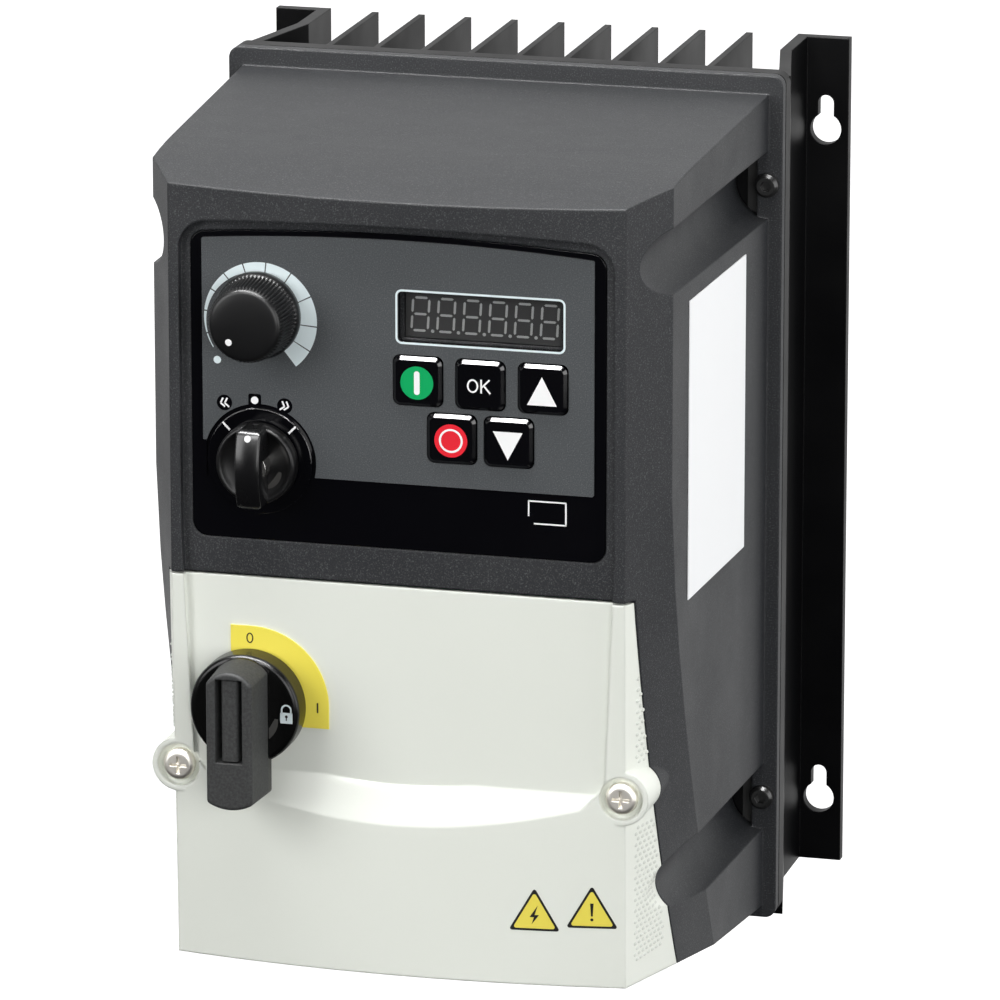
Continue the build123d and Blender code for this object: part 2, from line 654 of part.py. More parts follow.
# ================================================================ speed control
NUT_BACK = PANEL_FRONT
with BuildPart() as potentiometer:
    add(cylinder(POT_X, POT_Z, 8.5, CONTROL_FRONT, PAD_BACK - 0.2))
    add(cylinder(POT_X, POT_Z, POT_BUSH_R, PAD_BACK - 0.2, NUT_BACK + 3.4))
    add(cylinder(POT_X, POT_Z, SHAFT_R + SHAFT_GAP, CONTROL_FRONT + 2, NUT_BACK + 4), mode=Mode.SUBTRACT)
write(potentiometer.part, "potentiometer")

with BuildPart() as pot_nut:
    with BuildSketch(at_depth(NUT_BACK)):
        with Locations((POT_X, POT_Z)):
            RegularPolygon(6.6, 6)
            Circle(POT_BUSH_R + FIT, mode=Mode.SUBTRACT)
    extrude(amount=2.2)
write(pot_nut.part, "pot_nut")

with BuildPart() as pot_shaft:
    add(cylinder(POT_X, POT_Z, SHAFT_R, CONTROL_FRONT + 3, KNOB_FRONT - 3.0))
write(pot_shaft.part, "pot_shaft")

KNOB_BACK = OVERLAY_FRONT + KNOB_GAP
with BuildPart() as speed_knob:
    with BuildSketch(Plane.YZ.offset(POT_X)) as knob_half:
        with BuildLine():
            Polyline(
                (-KNOB_BACK, POT_Z),
                (-KNOB_BACK, POT_Z + KNOB_SKIRT_R),
                (-KNOB_BACK - 2.0, POT_Z + KNOB_SKIRT_R),
                (-KNOB_BACK - 3.6, POT_Z + KNOB_BODY_R),
                (-KNOB_FRONT + 1.6, POT_Z + KNOB_BODY_R - 0.3),
                (-KNOB_FRONT + 0.5, POT_Z + KNOB_CAP_R),
                (-KNOB_FRONT, POT_Z + KNOB_CAP_R - 1.0),
                (-KNOB_FRONT, POT_Z),
                close=True,
            )
        make_face()
    revolve(axis=Axis((POT_X, 0, POT_Z), (0, 1, 0)))
    add(cylinder(POT_X, POT_Z, SHAFT_R, KNOB_BACK - 1, KNOB_FRONT - 3.0), mode=Mode.SUBTRACT)
    add(cylinder(POT_X, POT_Z, 7.4, KNOB_BACK - 1, NUT_BACK + 4.2), mode=Mode.SUBTRACT)
write(speed_knob.part, "speed_knob")

# ================================================================ direction selector
with BuildPart() as selector_switch:
    add(block(POT_X, SELECTOR_Z, 24.0, 24.0, CONTROL_FRONT, PAD_BACK - 0.2))
    add(cylinder(POT_X, SELECTOR_Z, SELECTOR_BUSH_R, PAD_BACK - 0.2, PANEL_FRONT + 0.2))
    add(
        cylinder(POT_X, SELECTOR_Z, SELECTOR_SHAFT_R + SHAFT_GAP, CONTROL_FRONT + 1, PANEL_FRONT + 1),
        mode=Mode.SUBTRACT,
    )
write(selector_switch.part, "selector_switch")

with BuildPart() as selector_bezel:
    with BuildSketch(at_depth(PANEL_FRONT)):
        with Locations((POT_X, SELECTOR_Z)):
            Circle(BEZEL_R)
            Circle(SELECTOR_BUSH_R + 0.3, mode=Mode.SUBTRACT)
    extrude(amount=BEZEL_THICK)
    fillet(selector_bezel.faces().sort_by(Axis.Y)[0].outer_wire().edges(), 0.3)
write(selector_bezel.part, "selector_bezel")

with BuildPart() as selector_shaft:
    add(cylinder(POT_X, SELECTOR_Z, SELECTOR_SHAFT_R, CONTROL_FRONT + 2, SELECTOR_FRONT - 4))
write(selector_shaft.part, "selector_shaft")

SELECTOR_BACK = PANEL_FRONT + BEZEL_THICK + KNOB_GAP
with BuildPart() as selector_knob:
    with BuildSketch(at_depth(SELECTOR_BACK)):
        with Locations((POT_X, SELECTOR_Z)):
            Circle(SELECTOR_BASE_R)
    extrude(amount=SELECTOR_BASE_H)
    fillet(selector_knob.faces().sort_by(Axis.Y)[0].edges(), 1.2)
    with BuildSketch(at_depth(SELECTOR_BACK + 1)):
        with Locations((POT_X, SELECTOR_Z)):
            SlotOverall(SELECTOR_BAR_L, SELECTOR_BAR_W + 1.4, rotation=90)
    with BuildSketch(at_depth(SELECTOR_FRONT)):
        with Locations((POT_X, SELECTOR_Z)):
            SlotOverall(SELECTOR_BAR_L - 1.0, SELECTOR_BAR_W, rotation=90)
    loft()
    fillet(selector_knob.faces().sort_by(Axis.Y)[0].edges(), 0.8)
    add(
        cylinder(POT_X, SELECTOR_Z, SELECTOR_SHAFT_R, SELECTOR_BACK - 1, SELECTOR_FRONT - 4),
        mode=Mode.SUBTRACT,
    )
write(selector_knob.part, "selector_knob")

# ================================================================ terminal cover
with BuildPart() as terminal_cover:
    add(body_form(0.0, FLANGE_BACK))
    add(COVER_INNER, mode=Mode.SUBTRACT)
    add(COVER_ZONE, mode=Mode.INTERSECT)
    for x, z in LOW_CORNERS:
        with BuildPart(mode=Mode.PRIVATE) as cheek_liner:
            add(cylinder(x, z, CHANNEL_R + WALL, FLANGE_BACK, FRONT))
            add(OUTER, mode=Mode.INTERSECT)
            add(COVER_ZONE, mode=Mode.INTERSECT)
        add(cheek_liner.part)
    with BuildPart(mode=Mode.PRIVATE) as cover_bosses:
        with BuildSketch(at_depth(COVER_PAD_BACK)):
            add(panel_outline(BAND_HALF + 1.0, BAND_BOTTOM, PANEL_BOTTOM, PANEL_ARCH, 3.0))
        extrude(amount=COVER_WALL)
        add(OUTER, mode=Mode.INTERSECT)
        for x, z in BOSSES:
            add(cylinder(x, z, BOSS_R, FRONT - 40, front_depths(z)[0] + 0.2))
        add(COVER_ZONE, mode=Mode.INTERSECT)
    add(cover_bosses.part)
    for x, z in CORNERS:
        add(cylinder(x, z, CHANNEL_R, FLANGE_BACK, FRONT + 20), mode=Mode.SUBTRACT)
    add(BAND, mode=Mode.SUBTRACT)
    for x, z in BOSSES:
        add(cylinder(x, z, COVER_RECESS_R, COVER_SEAT, FRONT + 4), mode=Mode.SUBTRACT)
        add(cylinder(x, z, COVER_SCREW_R + FIT, FRONT - 40, FRONT), mode=Mode.SUBTRACT)
    with BuildSketch(at_depth(FRONT - 12)):
        with Locations((ISO_X, ISO_Z)):
            Circle(ISO_SHAFT_R + 1.0)
    extrude(amount=20, mode=Mode.SUBTRACT)
write(terminal_cover.part, "terminal_cover")

with BuildPart() as cover_screws:
    with BuildSketch(at_depth(COVER_SEAT)):
        with Locations(*BOSSES):
            Circle(COVER_HEAD_R)
    extrude(amount=COVER_HEAD_H)
    fillet(cover_screws.faces().sort_by(Axis.Y)[:2].edges(), 1.4)
    with BuildSketch(at_depth(COVER_SEAT + COVER_HEAD_H)):
        with Locations(*BOSSES):
            Rectangle(4.6, 0.9)
            Rectangle(0.9, 4.6)
    extrude(amount=-1.5, mode=Mode.SUBTRACT)
    with BuildSketch(at_depth(COVER_SCREW_TIP)):
        with Locations(*BOSSES):
            Circle(COVER_SCREW_R)
    extrude(amount=COVER_SEAT - COVER_SCREW_TIP)
write(cover_screws.part, "cover_screws")

# ================================================================ isolator
LEGEND_BACK = BAND_DEPTH
with BuildPart() as isolator_legend:
    with BuildSketch(at_depth(LEGEND_BACK)):
        with Locations((ISO_X, ISO_Z)):
            with BuildSketch(mode=Mode.PRIVATE) as quarter:
                Circle(LEGEND_R)
                with Locations((LEGEND_R / 2 + 5, LEGEND_R / 2 + 5)):
                    Rectangle(LEGEND_R + 10, LEGEND_R + 10, mode=Mode.INTERSECT)
                with Locations((-LEGEND_TAB / 2, LEGEND_R / 2)):
                    Rectangle(LEGEND_TAB + 2 * FIT, LEGEND_R)
                with Locations((LEGEND_R / 2, -LEGEND_TAB / 2)):
                    Rectangle(LEGEND_R, LEGEND_TAB + 2 * FIT)
                Circle(ISO_SHAFT_R + 2.0)
                Circle(ISO_SHAFT_R + 1.0, mode=Mode.SUBTRACT)
            add(quarter.sketch)
    extrude(amount=OVERLAY_THICK)
write(isolator_legend.part, "isolator_legend")

DISC_BACK = BAND_DEPTH + OVERLAY_THICK + ISO_FLOOR_GAP
DISC_FRONT = DISC_BACK + ISO_DISC_THICK
with BuildPart() as isolator_handle:
    with BuildSketch(at_depth(DISC_BACK)):
        with Locations((ISO_X, ISO_Z)):
            Circle(ISO_DISC_R)
    extrude(amount=ISO_DISC_THICK)
    fillet(isolator_handle.faces().sort_by(Axis.Y)[0].edges(), 1.5)
    with BuildSketch(at_depth(DISC_FRONT - LEVER_ROOT)):
        add(lever_outline(LEVER_WIDTH / 2 + 0.8, LEVER_UP + 0.4, LEVER_DOWN + 0.4))
    with BuildSketch(at_depth(LEVER_FRONT)):
        add(lever_outline(LEVER_WIDTH / 2, LEVER_UP, LEVER_DOWN))
    loft()
    fillet(isolator_handle.faces().sort_by(Axis.Y)[0].edges(), 0.9)
    slot_mid = ISO_Z + (TONGUE_SLOT_HIGH + TONGUE_SLOT_LOW) / 2
    slot_length = TONGUE_SLOT_HIGH - TONGUE_SLOT_LOW
    add(
        block(ISO_X, slot_mid, TONGUE_WIDTH + 2 * TONGUE_GAP, slot_length + 2 * CLEAR, TONGUE_FLOOR, LEVER_FRONT + 1),
        mode=Mode.SUBTRACT,
    )
    add(cylinder(ISO_X, ISO_Z, ISO_SHAFT_R, DISC_BACK - 1, DISC_BACK + 5), mode=Mode.SUBTRACT)
write(isolator_handle.part, "isolator_handle")

with BuildPart() as lock_tongue:
    add(block(ISO_X, slot_mid, TONGUE_WIDTH, slot_length, TONGUE_FLOOR + CLEAR, TONGUE_FRONT))
    fillet(lock_tongue.faces().sort_by(Axis.Y)[0].edges().filter_by(Axis.Z), 1.0)
    with BuildSketch(Plane.YZ.offset(ISO_X)):
        with Locations((-TONGUE_FRONT + PADLOCK_FROM_TIP, slot_mid)):
            Circle(PADLOCK_R)
    extrude(amount=TONGUE_WIDTH, both=True, mode=Mode.SUBTRACT)
write(lock_tongue.part, "lock_tongue")

with BuildPart() as isolator_shaft:
    add(cylinder(ISO_X, ISO_Z, ISO_SHAFT_R, ISO_BODY_BACK + 4, DISC_BACK + 5))
write(isolator_shaft.part, "isolator_shaft")

ISO_BODY_FRONT = COVER_PAD_BACK
with BuildPart() as isolator_switch:
    add(block(ISO_X, ISO_Z, ISO_BODY_W, ISO_BODY_W, ISO_BODY_BACK, ISO_BODY_FRONT))
    chamfer(isolator_switch.edges().filter_by(Axis.Y), 3.0)
    for side in (-1, 1):
        for row in (-1, 0, 1):
            hole_x = ISO_X + side * (ISO_BODY_W / 2 - 3)
            add(block(hole_x, ISO_Z + 10 * row, 6.2, 6.0, ISO_BODY_BACK + 6, ISO_BODY_BACK + 16), mode=Mode.SUBTRACT)
    add(
        cylinder(ISO_X, ISO_Z, ISO_SHAFT_R + SHAFT_GAP, ISO_BODY_BACK + 3, ISO_BODY_FRONT + 1),
        mode=Mode.SUBTRACT,
    )
write(isolator_switch.part, "isolator_switch")

with BuildPart() as shaft_seal:
    add(cylinder(ISO_X, ISO_Z, ISO_SHAFT_R + 1.0 - FIT, ISO_BODY_FRONT, BAND_DEPTH))
    add(cylinder(ISO_X, ISO_Z, ISO_SHAFT_R + SHAFT_GAP, ISO_BODY_FRONT - 1, BAND_DEPTH + 1), mode=Mode.SUBTRACT)
write(shaft_seal.part, "shaft_seal")

# ================================================================ glands, label
with BuildPart() as blanking_plug:
    with BuildSketch(Plane.XY.offset(GLAND_FACE - 1.5)):
        with Locations((0, -GLAND_DEPTH)):
            Circle(GLAND_R + 2.5)
    extrude(amount=1.5)
    with BuildSketch(Plane.XY.offset(GLAND_FACE)):
        with Locations((0, -GLAND_DEPTH)):
            Circle(GLAND_R - FIT)
    extrude(amount=GLAND_LENGTH)
    with BuildSketch(Plane.XY.offset(GLAND_FACE + GLAND_LENGTH)):
        with Locations((0, -GLAND_DEPTH)):
            Circle(GLAND_R + 0.8)
    extrude(amount=1.5)
write(blanking_plug.part, "blanking_plug")

LABEL_BACK, LABEL_FRONT = 85.0, 139.0
LABEL_LOW, LABEL_HIGH = -1.0, 78.3
LABEL_THICK = 0.25
with BuildPart() as side_label:
    with BuildSketch(Plane.XY.offset(LABEL_LOW)):
        with BuildLine():
            Polyline(
                (side_half(LABEL_BACK) + FIT, -LABEL_BACK),
                (side_half(LABEL_FRONT) + FIT, -LABEL_FRONT),
                (side_half(LABEL_FRONT) + FIT + LABEL_THICK, -LABEL_FRONT),
                (side_half(LABEL_BACK) + FIT + LABEL_THICK, -LABEL_BACK),
                close=True,
            )
        make_face()
    extrude(amount=LABEL_HIGH - LABEL_LOW)
write(side_label.part, "side_label")

# ================================================================ power electronics
SHEET_FRONT = BASE_FRONT + PAD_SHEET
with BuildPart() as thermal_pad:
    add(block(0, 0, MODULE_FOOT[0] + 2, MODULE_FOOT[1] + 2, BASE_FRONT, SHEET_FRONT))
write(thermal_pad.part, "thermal_pad")

with BuildPart() as power_module:
    add(block(0, 0, MODULE_FOOT[0], MODULE_FOOT[1], SHEET_FRONT, SHEET_FRONT + MODULE_FOOT[2]))
    fillet(power_module.edges().filter_by(Axis.Y), 2.0)
write(power_module.part, "power_module")

with BuildPart() as board_standoffs:
    with BuildSketch(at_depth(BASE_FRONT)):
        with Locations(*STANDOFFS):
            RegularPolygon(STANDOFF_R, 6)
            Circle(SMALL_SCREW_R + FIT, mode=Mode.SUBTRACT)
    extrude(amount=POWER_BOARD_BACK - BASE_FRONT)
write(board_standoffs.part, "board_standoffs")

POWER_BOARD_FRONT = POWER_BOARD_BACK + POWER_BOARD_THICK
POWER_BOARD_MID = (POWER_BOARD_LOW + POWER_BOARD_HIGH) / 2
with BuildPart() as power_board:
    with BuildSketch(at_depth(POWER_BOARD_BACK)):
        with Locations((0, POWER_BOARD_MID)):
            RectangleRounded(POWER_BOARD_W, POWER_BOARD_HIGH - POWER_BOARD_LOW, 3.0)
        with Locations(*STANDOFFS):
            Circle(SMALL_SCREW_R + FIT, mode=Mode.SUBTRACT)
    extrude(amount=POWER_BOARD_THICK)
write(power_board.part, "power_board")

with BuildPart() as power_board_screws:
    with BuildSketch(at_depth(POWER_BOARD_FRONT)):
        with Locations(*STANDOFFS):
            Circle(2 * SMALL_SCREW_R)
    extrude(amount=1.8)
    with BuildSketch(at_depth(POWER_BOARD_FRONT)):
        with Locations(*STANDOFFS):
            Circle(SMALL_SCREW_R)
    extrude(amount=-POWER_BOARD_THICK - 6.0)
write(power_board_screws.part, "power_board_screws")

with BuildPart() as dc_capacitors:
    with BuildSketch(at_depth(POWER_BOARD_FRONT)):
        with Locations(*CAPACITORS):
            Circle(CAP_R)
    extrude(amount=CAP_LENGTH)
    fillet(dc_capacitors.faces().sort_by(Axis.Y)[: len(CAPACITORS)].edges(), 1.2)
write(dc_capacitors.part, "dc_capacitors")

with BuildPart() as filter_choke:
    with BuildSketch(at_depth(POWER_BOARD_FRONT)):
        with Locations((38.0, 18.0)):
            Circle(13.0)
            Circle(5.0, mode=Mode.SUBTRACT)
    extrude(amount=14.0)
    fillet(filter_choke.faces().sort_by(Axis.Y)[0].edges(), 2.0)
write(filter_choke.part, "filter_choke")

with BuildPart() as inrush_relay:
    add(block(6.0, 14.0, 20.0, 16.0, POWER_BOARD_FRONT, POWER_BOARD_FRONT + 20.0))
    fillet(inrush_relay.edges().filter_by(Axis.Y), 1.0)
write(inrush_relay.part, "inrush_relay")

with BuildPart() as supply_transformer:
    add(block(-30.0, 12.0, 24.0, 22.0, POWER_BOARD_FRONT, POWER_BOARD_FRONT + 18.0))
    add(block(-30.0, 12.0, 16.0, 26.0, POWER_BOARD_FRONT + 4.0, POWER_BOARD_FRONT + 14.0))
write(supply_transformer.part, "supply_transformer")

TERMINAL_PITCH = 9.5
TERMINAL_WAYS = 8
TERMINAL_Z = -56.0
with BuildPart() as power_terminals:
    width = TERMINAL_PITCH * TERMINAL_WAYS
    add(block(6.0, TERMINAL_Z, width, 14.0, POWER_BOARD_FRONT, POWER_BOARD_FRONT + 20.0))
    with BuildSketch(Plane.XY.offset(TERMINAL_Z - 7.0)):
        with Locations((6.0, -POWER_BOARD_FRONT - 8.0)):
            with GridLocations(TERMINAL_PITCH, 0, TERMINAL_WAYS, 1):
                Rectangle(6.5, 7.0)
    extrude(amount=8.0, mode=Mode.SUBTRACT)
    with BuildSketch(at_depth(POWER_BOARD_FRONT + 20.0)):
        with Locations((6.0, TERMINAL_Z + 1.0)):
            with GridLocations(TERMINAL_PITCH, 0, TERMINAL_WAYS, 1):
                Circle(2.6)
    extrude(amount=-5.0, mode=Mode.SUBTRACT)
write(power_terminals.part, "power_terminals")

with BuildPart() as terminal_screws:
    with BuildSketch(at_depth(POWER_BOARD_FRONT + 15.0)):
        with Locations((6.0, TERMINAL_Z + 1.0)):
            with GridLocations(TERMINAL_PITCH, 0, TERMINAL_WAYS, 1):
                Circle(2.4)
                Rectangle(3.6, 0.7, mode=Mode.SUBTRACT)
    extrude(amount=2.6)
write(terminal_screws.part, "terminal_screws")

with BuildPart() as control_terminals:
    width = 5.08 * 11
    add(block(8.0, -14.0, width, 10.0, POWER_BOARD_FRONT, POWER_BOARD_FRONT + 30.0))
    with BuildSketch(at_depth(POWER_BOARD_FRONT + 30.0)):
        with Locations((8.0, -14.0)):
            with GridLocations(5.08, 0, 11, 1):
                Circle(1.5)
    extrude(amount=-3.0, mode=Mode.SUBTRACT)
write(control_terminals.part, "control_terminals")

with BuildPart() as data_port:
    add(block(46.0, -14.0, 15.0, 13.0, POWER_BOARD_FRONT, POWER_BOARD_FRONT + 32.0))
    add(block(46.0, -14.0, 11.8, 8.0, POWER_BOARD_FRONT + 20.0, POWER_BOARD_FRONT + 33.0), mode=Mode.SUBTRACT)
write(data_port.part, "data_port")

with BuildPart() as earth_studs:
    with BuildSketch(at_depth(BASE_FRONT)):
        with Locations((-45.0, -82.0), (-33.0, -82.0)):
            Circle(2.0)
    extrude(amount=14.0)
    with BuildSketch(at_depth(BASE_FRONT)):
        with Locations((-45.0, -82.0), (-33.0, -82.0)):
            RegularPolygon(4.0, 6)
    extrude(amount=3.2)
write(earth_studs.part, "earth_studs")
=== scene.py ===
"""Looks for the sealed wall-mounted variable frequency drive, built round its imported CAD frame.

Frame: +Z up, the front faces -Y, the wall is Y = 0. A depth is a distance from the wall, so it is -Y.
Sizes in this script are in millimetres unless said otherwise, and become metres where a mesh is made.
"""

import math

import bmesh
import bpy
from mathutils import Matrix, Vector
from mathutils.bvhtree import BVHTree


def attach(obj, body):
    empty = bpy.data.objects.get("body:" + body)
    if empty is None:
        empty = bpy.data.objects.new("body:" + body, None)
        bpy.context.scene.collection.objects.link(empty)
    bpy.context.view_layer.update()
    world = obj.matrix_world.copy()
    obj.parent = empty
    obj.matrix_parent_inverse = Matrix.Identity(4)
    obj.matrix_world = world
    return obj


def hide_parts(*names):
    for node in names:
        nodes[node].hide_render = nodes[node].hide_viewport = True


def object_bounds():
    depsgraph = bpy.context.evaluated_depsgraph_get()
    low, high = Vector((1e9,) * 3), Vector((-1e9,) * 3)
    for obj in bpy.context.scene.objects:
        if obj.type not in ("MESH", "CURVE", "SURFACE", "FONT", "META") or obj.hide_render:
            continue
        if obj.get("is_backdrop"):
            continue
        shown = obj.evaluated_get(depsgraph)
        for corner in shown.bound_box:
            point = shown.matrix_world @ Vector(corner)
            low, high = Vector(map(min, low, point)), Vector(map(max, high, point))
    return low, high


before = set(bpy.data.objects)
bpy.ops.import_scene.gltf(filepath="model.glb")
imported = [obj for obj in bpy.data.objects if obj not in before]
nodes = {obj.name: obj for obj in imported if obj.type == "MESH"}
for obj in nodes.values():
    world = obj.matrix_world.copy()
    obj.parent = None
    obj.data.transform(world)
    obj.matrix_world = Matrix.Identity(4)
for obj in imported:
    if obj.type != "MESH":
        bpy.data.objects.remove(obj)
cad_low, cad_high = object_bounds()
MM = 0.001


# ---------------------------------------------------------------- materials
def new_material(name):
    """An empty node material with its Principled shader and output."""
    mat = bpy.data.materials.new(name)
    mat.use_nodes = True
    tree = mat.node_tree
    tree.nodes.clear()
    out = tree.nodes.new("ShaderNodeOutputMaterial")
    shader = tree.nodes.new("ShaderNodeBsdfPrincipled")
    tree.links.new(shader.outputs["BSDF"], out.inputs["Surface"])
    return mat, tree, shader


def object_coords(tree):
    return tree.nodes.new("ShaderNodeTexCoord").outputs["Object"]


def noise(tree, scale, detail, roughness, vector=None):
    """A noise texture's value, on object coordinates unless others are given."""
    node = tree.nodes.new("ShaderNodeTexNoise")
    node.inputs["Scale"].default_value = scale
    node.inputs["Detail"].default_value = detail
    node.inputs["Roughness"].default_value = roughness
    tree.links.new(vector or object_coords(tree), node.inputs["Vector"])
    return node.outputs["Fac"]


def ramp(tree, value, stops):
    """A colour ramp: stops are (position, (r, g, b)) or (position, grey)."""
    node = tree.nodes.new("ShaderNodeValToRGB")
    elements = node.color_ramp.elements
    while len(elements) > 1:
        elements.remove(elements[0])
    for i, (position, colour) in enumerate(stops):
        element = elements[0] if i == 0 else elements.new(position)
        element.position = position
        colour = (colour,) * 3 if isinstance(colour, (int, float)) else colour
        element.color = (*colour, 1.0)
    tree.links.new(value, node.inputs["Fac"])
    return node.outputs["Color"]


def plastic(name, colour, rough, grain=0.0, grain_scale=1400.0, speckle=0.0, edge=0.4, coat=0.0, metallic=0.0,
            specular=0.5):
    """Moulded or painted surface.

    Grain is the bump height and edge the radius that corners are shaded with, both in mm. Speckle lightens
    single grains.
    """
    mat, tree, shader = new_material(name)
    shader.inputs["Base Color"].default_value = (*colour, 1.0)
    shader.inputs["Roughness"].default_value = rough
    shader.inputs["Metallic"].default_value = metallic
    shader.inputs["Specular IOR Level"].default_value = specular
    shader.inputs["Coat Weight"].default_value = coat
    shader.inputs["Coat Roughness"].default_value = 0.05
    coords = object_coords(tree)
    normal = None
    if edge:
        bevel = tree.nodes.new("ShaderNodeBevel")
        bevel.samples = 4
        bevel.inputs["Radius"].default_value = edge * MM
        normal = bevel.outputs["Normal"]
    if grain:
        field = noise(tree, grain_scale, 2.0, 0.6, coords)
        bump = tree.nodes.new("ShaderNodeBump")
        bump.inputs["Strength"].default_value = 1.0
        bump.inputs["Distance"].default_value = grain * MM
        tree.links.new(field, bump.inputs["Height"])
        if normal:
            tree.links.new(normal, bump.inputs["Normal"])
        normal = bump.outputs["Normal"]
        if speckle:
            light = tuple(min(1.0, c + speckle) for c in colour)
            dark = tuple(c * 0.8 for c in colour)
            tint = ramp(tree, field, [(0.35, dark), (0.55, colour), (0.72, light)])
            tree.links.new(tint, shader.inputs["Base Color"])
    broad = noise(tree, 35.0, 3.0, 0.55, coords)
    sheen = ramp(tree, broad, [(0.3, max(0.0, rough - 0.05)), (0.7, min(1.0, rough + 0.05))])
    tree.links.new(sheen, shader.inputs["Roughness"])
    if normal:
        tree.links.new(normal, shader.inputs["Normal"])
    return mat


DARK = plastic("dark_plastic", (0.016, 0.0175, 0.0205), 0.5, grain=0.06, grain_scale=2700, speckle=0.06,
               edge=0.8, specular=0.35)
LIGHT = plastic("light_plastic", (0.775, 0.80, 0.735), 0.45, grain=0.012, grain_scale=1800, edge=1.0)
# a darker copy of the cover's plastic: painted shade that makes the raised grains stand out
GRIP_SHADED = plastic("grip_grains_painted_shade", (0.62, 0.64, 0.59), 0.5, edge=0)
CASTING = plastic("black_casting", (0.0012, 0.0012, 0.0016), 0.4, grain=0.01, grain_scale=700, edge=0.5,
                  specular=0.12)
SEAL = plastic("rubber_seal", (0.015, 0.015, 0.015), 0.7, edge=0.2)
BLACK_SCREW = plastic("black_screw", (0.012, 0.012, 0.012), 0.3, edge=0.2)
GLOSS = plastic("gloss_panel", (0.0015, 0.0015, 0.0025), 0.12, edge=0.3, coat=0.3)
MEMBRANE = plastic("grey_membrane", (0.066, 0.072, 0.077), 0.5, grain=0.012, grain_scale=3200, speckle=0.06,
                   edge=0, specular=0.3)
KEY = plastic("key_black", (0.002, 0.002, 0.003), 0.12, edge=0.1, coat=0.3)
SATIN = plastic("satin_black", (0.004, 0.004, 0.0045), 0.34, edge=0.4, specular=0.35)
GRIP_BLACK = plastic("grip_black", (0.004, 0.004, 0.0045), 0.26, edge=0.3)
# grey for crescents printed on the black discs: a painted highlight, the sheen on the floor of a groove
GROOVE_SHEEN = plastic("painted_groove_sheen", (0.055, 0.053, 0.050), 0.4, edge=0)
HANDLE = plastic("isolator_plastic", (0.002, 0.002, 0.002), 0.3, edge=0.4, specular=0.3)
STEEL = plastic("stainless", (0.62, 0.61, 0.59), 0.25, metallic=1.0, edge=0.2)
SCREW = plastic("screw_steel", (0.80, 0.77, 0.71), 0.42, metallic=1.0, edge=0.2)
YELLOW = plastic("yellow_plate", (0.92, 0.79, 0.10), 0.35, edge=0.1)
PAPER = plastic("label_white", (0.88, 0.89, 0.90), 0.5, edge=0.1)
BOARD = plastic("solder_mask", (0.01, 0.10, 0.04), 0.35, edge=0.2)
BRASS = plastic("brass", (0.75, 0.55, 0.25), 0.3, metallic=1.0, edge=0.2)
WHITE = plastic("white_print", (0.93, 0.93, 0.93), 0.5, edge=0)
GREEN = plastic("green_print", (0.0, 0.38, 0.11), 0.4, edge=0, specular=0.2)
RED = plastic("red_print", (0.80, 0.018, 0.035), 0.4, edge=0, specular=0.2)
BLACK_INK = plastic("black_print", (0.004, 0.004, 0.004), 0.4, edge=0)
SMOKE = plastic("display_face", (0.045, 0.045, 0.046), 0.5, edge=0.1)
WINDOW = plastic("clear_window", (0.004, 0.004, 0.004), 0.05, edge=0)
WINDOW.node_tree.nodes["Principled BSDF"].inputs["Alpha"].default_value = 0.15
SEGMENT = plastic("unlit_segment", (0.50, 0.51, 0.50), 0.5, edge=0)
PALE = plastic("pale_print", (0.74, 0.84, 0.86), 0.5, edge=0)
YELLOW_INK = plastic("yellow_print", (0.80, 0.68, 0.08), 0.5, edge=0)
PAD = plastic("heat_sheet", (0.4, 0.4, 0.42), 0.8, edge=0)
MODULE = plastic("module_grey", (0.05, 0.05, 0.06), 0.5, grain=0.02, edge=0.3)
SLEEVE = plastic("capacitor_sleeve", (0.012, 0.014, 0.05), 0.25, edge=0.3)
COPPER = plastic("choke_windings", (0.5, 0.2, 0.06), 0.35, grain=0.1, grain_scale=400, edge=0.3)
BLUE = plastic("relay_blue", (0.03, 0.07, 0.3), 0.35, edge=0.3)
TAPE = plastic("transformer_tape", (0.62, 0.48, 0.10), 0.3, edge=0.3)
BLOCK_GREY = plastic("terminal_grey", (0.22, 0.23, 0.24), 0.5, edge=0.3)
BLOCK_GREEN = plastic("terminal_green", (0.03, 0.25, 0.09), 0.5, edge=0.3)
FLOOR = plastic("white_floor", (0.85, 0.85, 0.85), 0.6, edge=0)
floor_shader = FLOOR.node_tree.nodes["Principled BSDF"]
floor_shader.inputs["Emission Color"].default_value = (1, 1, 1, 1)
floor_shader.inputs["Emission Strength"].default_value = 0.9


def matte_in_front(mat, depth, colour, rough):
    """Turns a material matte in front of a depth (mm): the lever stands on a glossier disc."""
    tree = mat.node_tree
    shader = tree.nodes["Principled BSDF"]
    split = tree.nodes.new("ShaderNodeSeparateXYZ")
    tree.links.new(object_coords(tree), split.inputs["Vector"])
    front = tree.nodes.new("ShaderNodeMath")
    front.operation = "LESS_THAN"
    front.inputs[1].default_value = -depth * MM
    tree.links.new(split.outputs["Y"], front.inputs[0])
    grain = noise(tree, 1500.0, 2.0, 0.6)
    speck = ramp(tree, grain, [(0.35, tuple(0.8 * c for c in colour)), (0.7, tuple(1.5 * c for c in colour))])
    mix = tree.nodes.new("ShaderNodeMix")
    mix.data_type = "RGBA"
    tree.links.new(front.outputs["Value"], mix.inputs["Factor"])
    mix.inputs[6].default_value = shader.inputs["Base Color"].default_value
    tree.links.new(speck, mix.inputs[7])
    tree.links.new(mix.outputs[2], shader.inputs["Base Color"])
    level = ramp(tree, front.outputs["Value"], [(0.0, 0.25), (1.0, rough)])
    tree.links.new(level, shader.inputs["Roughness"])


matte_in_front(HANDLE, 176.0, (0.030, 0.031, 0.031), 0.6)

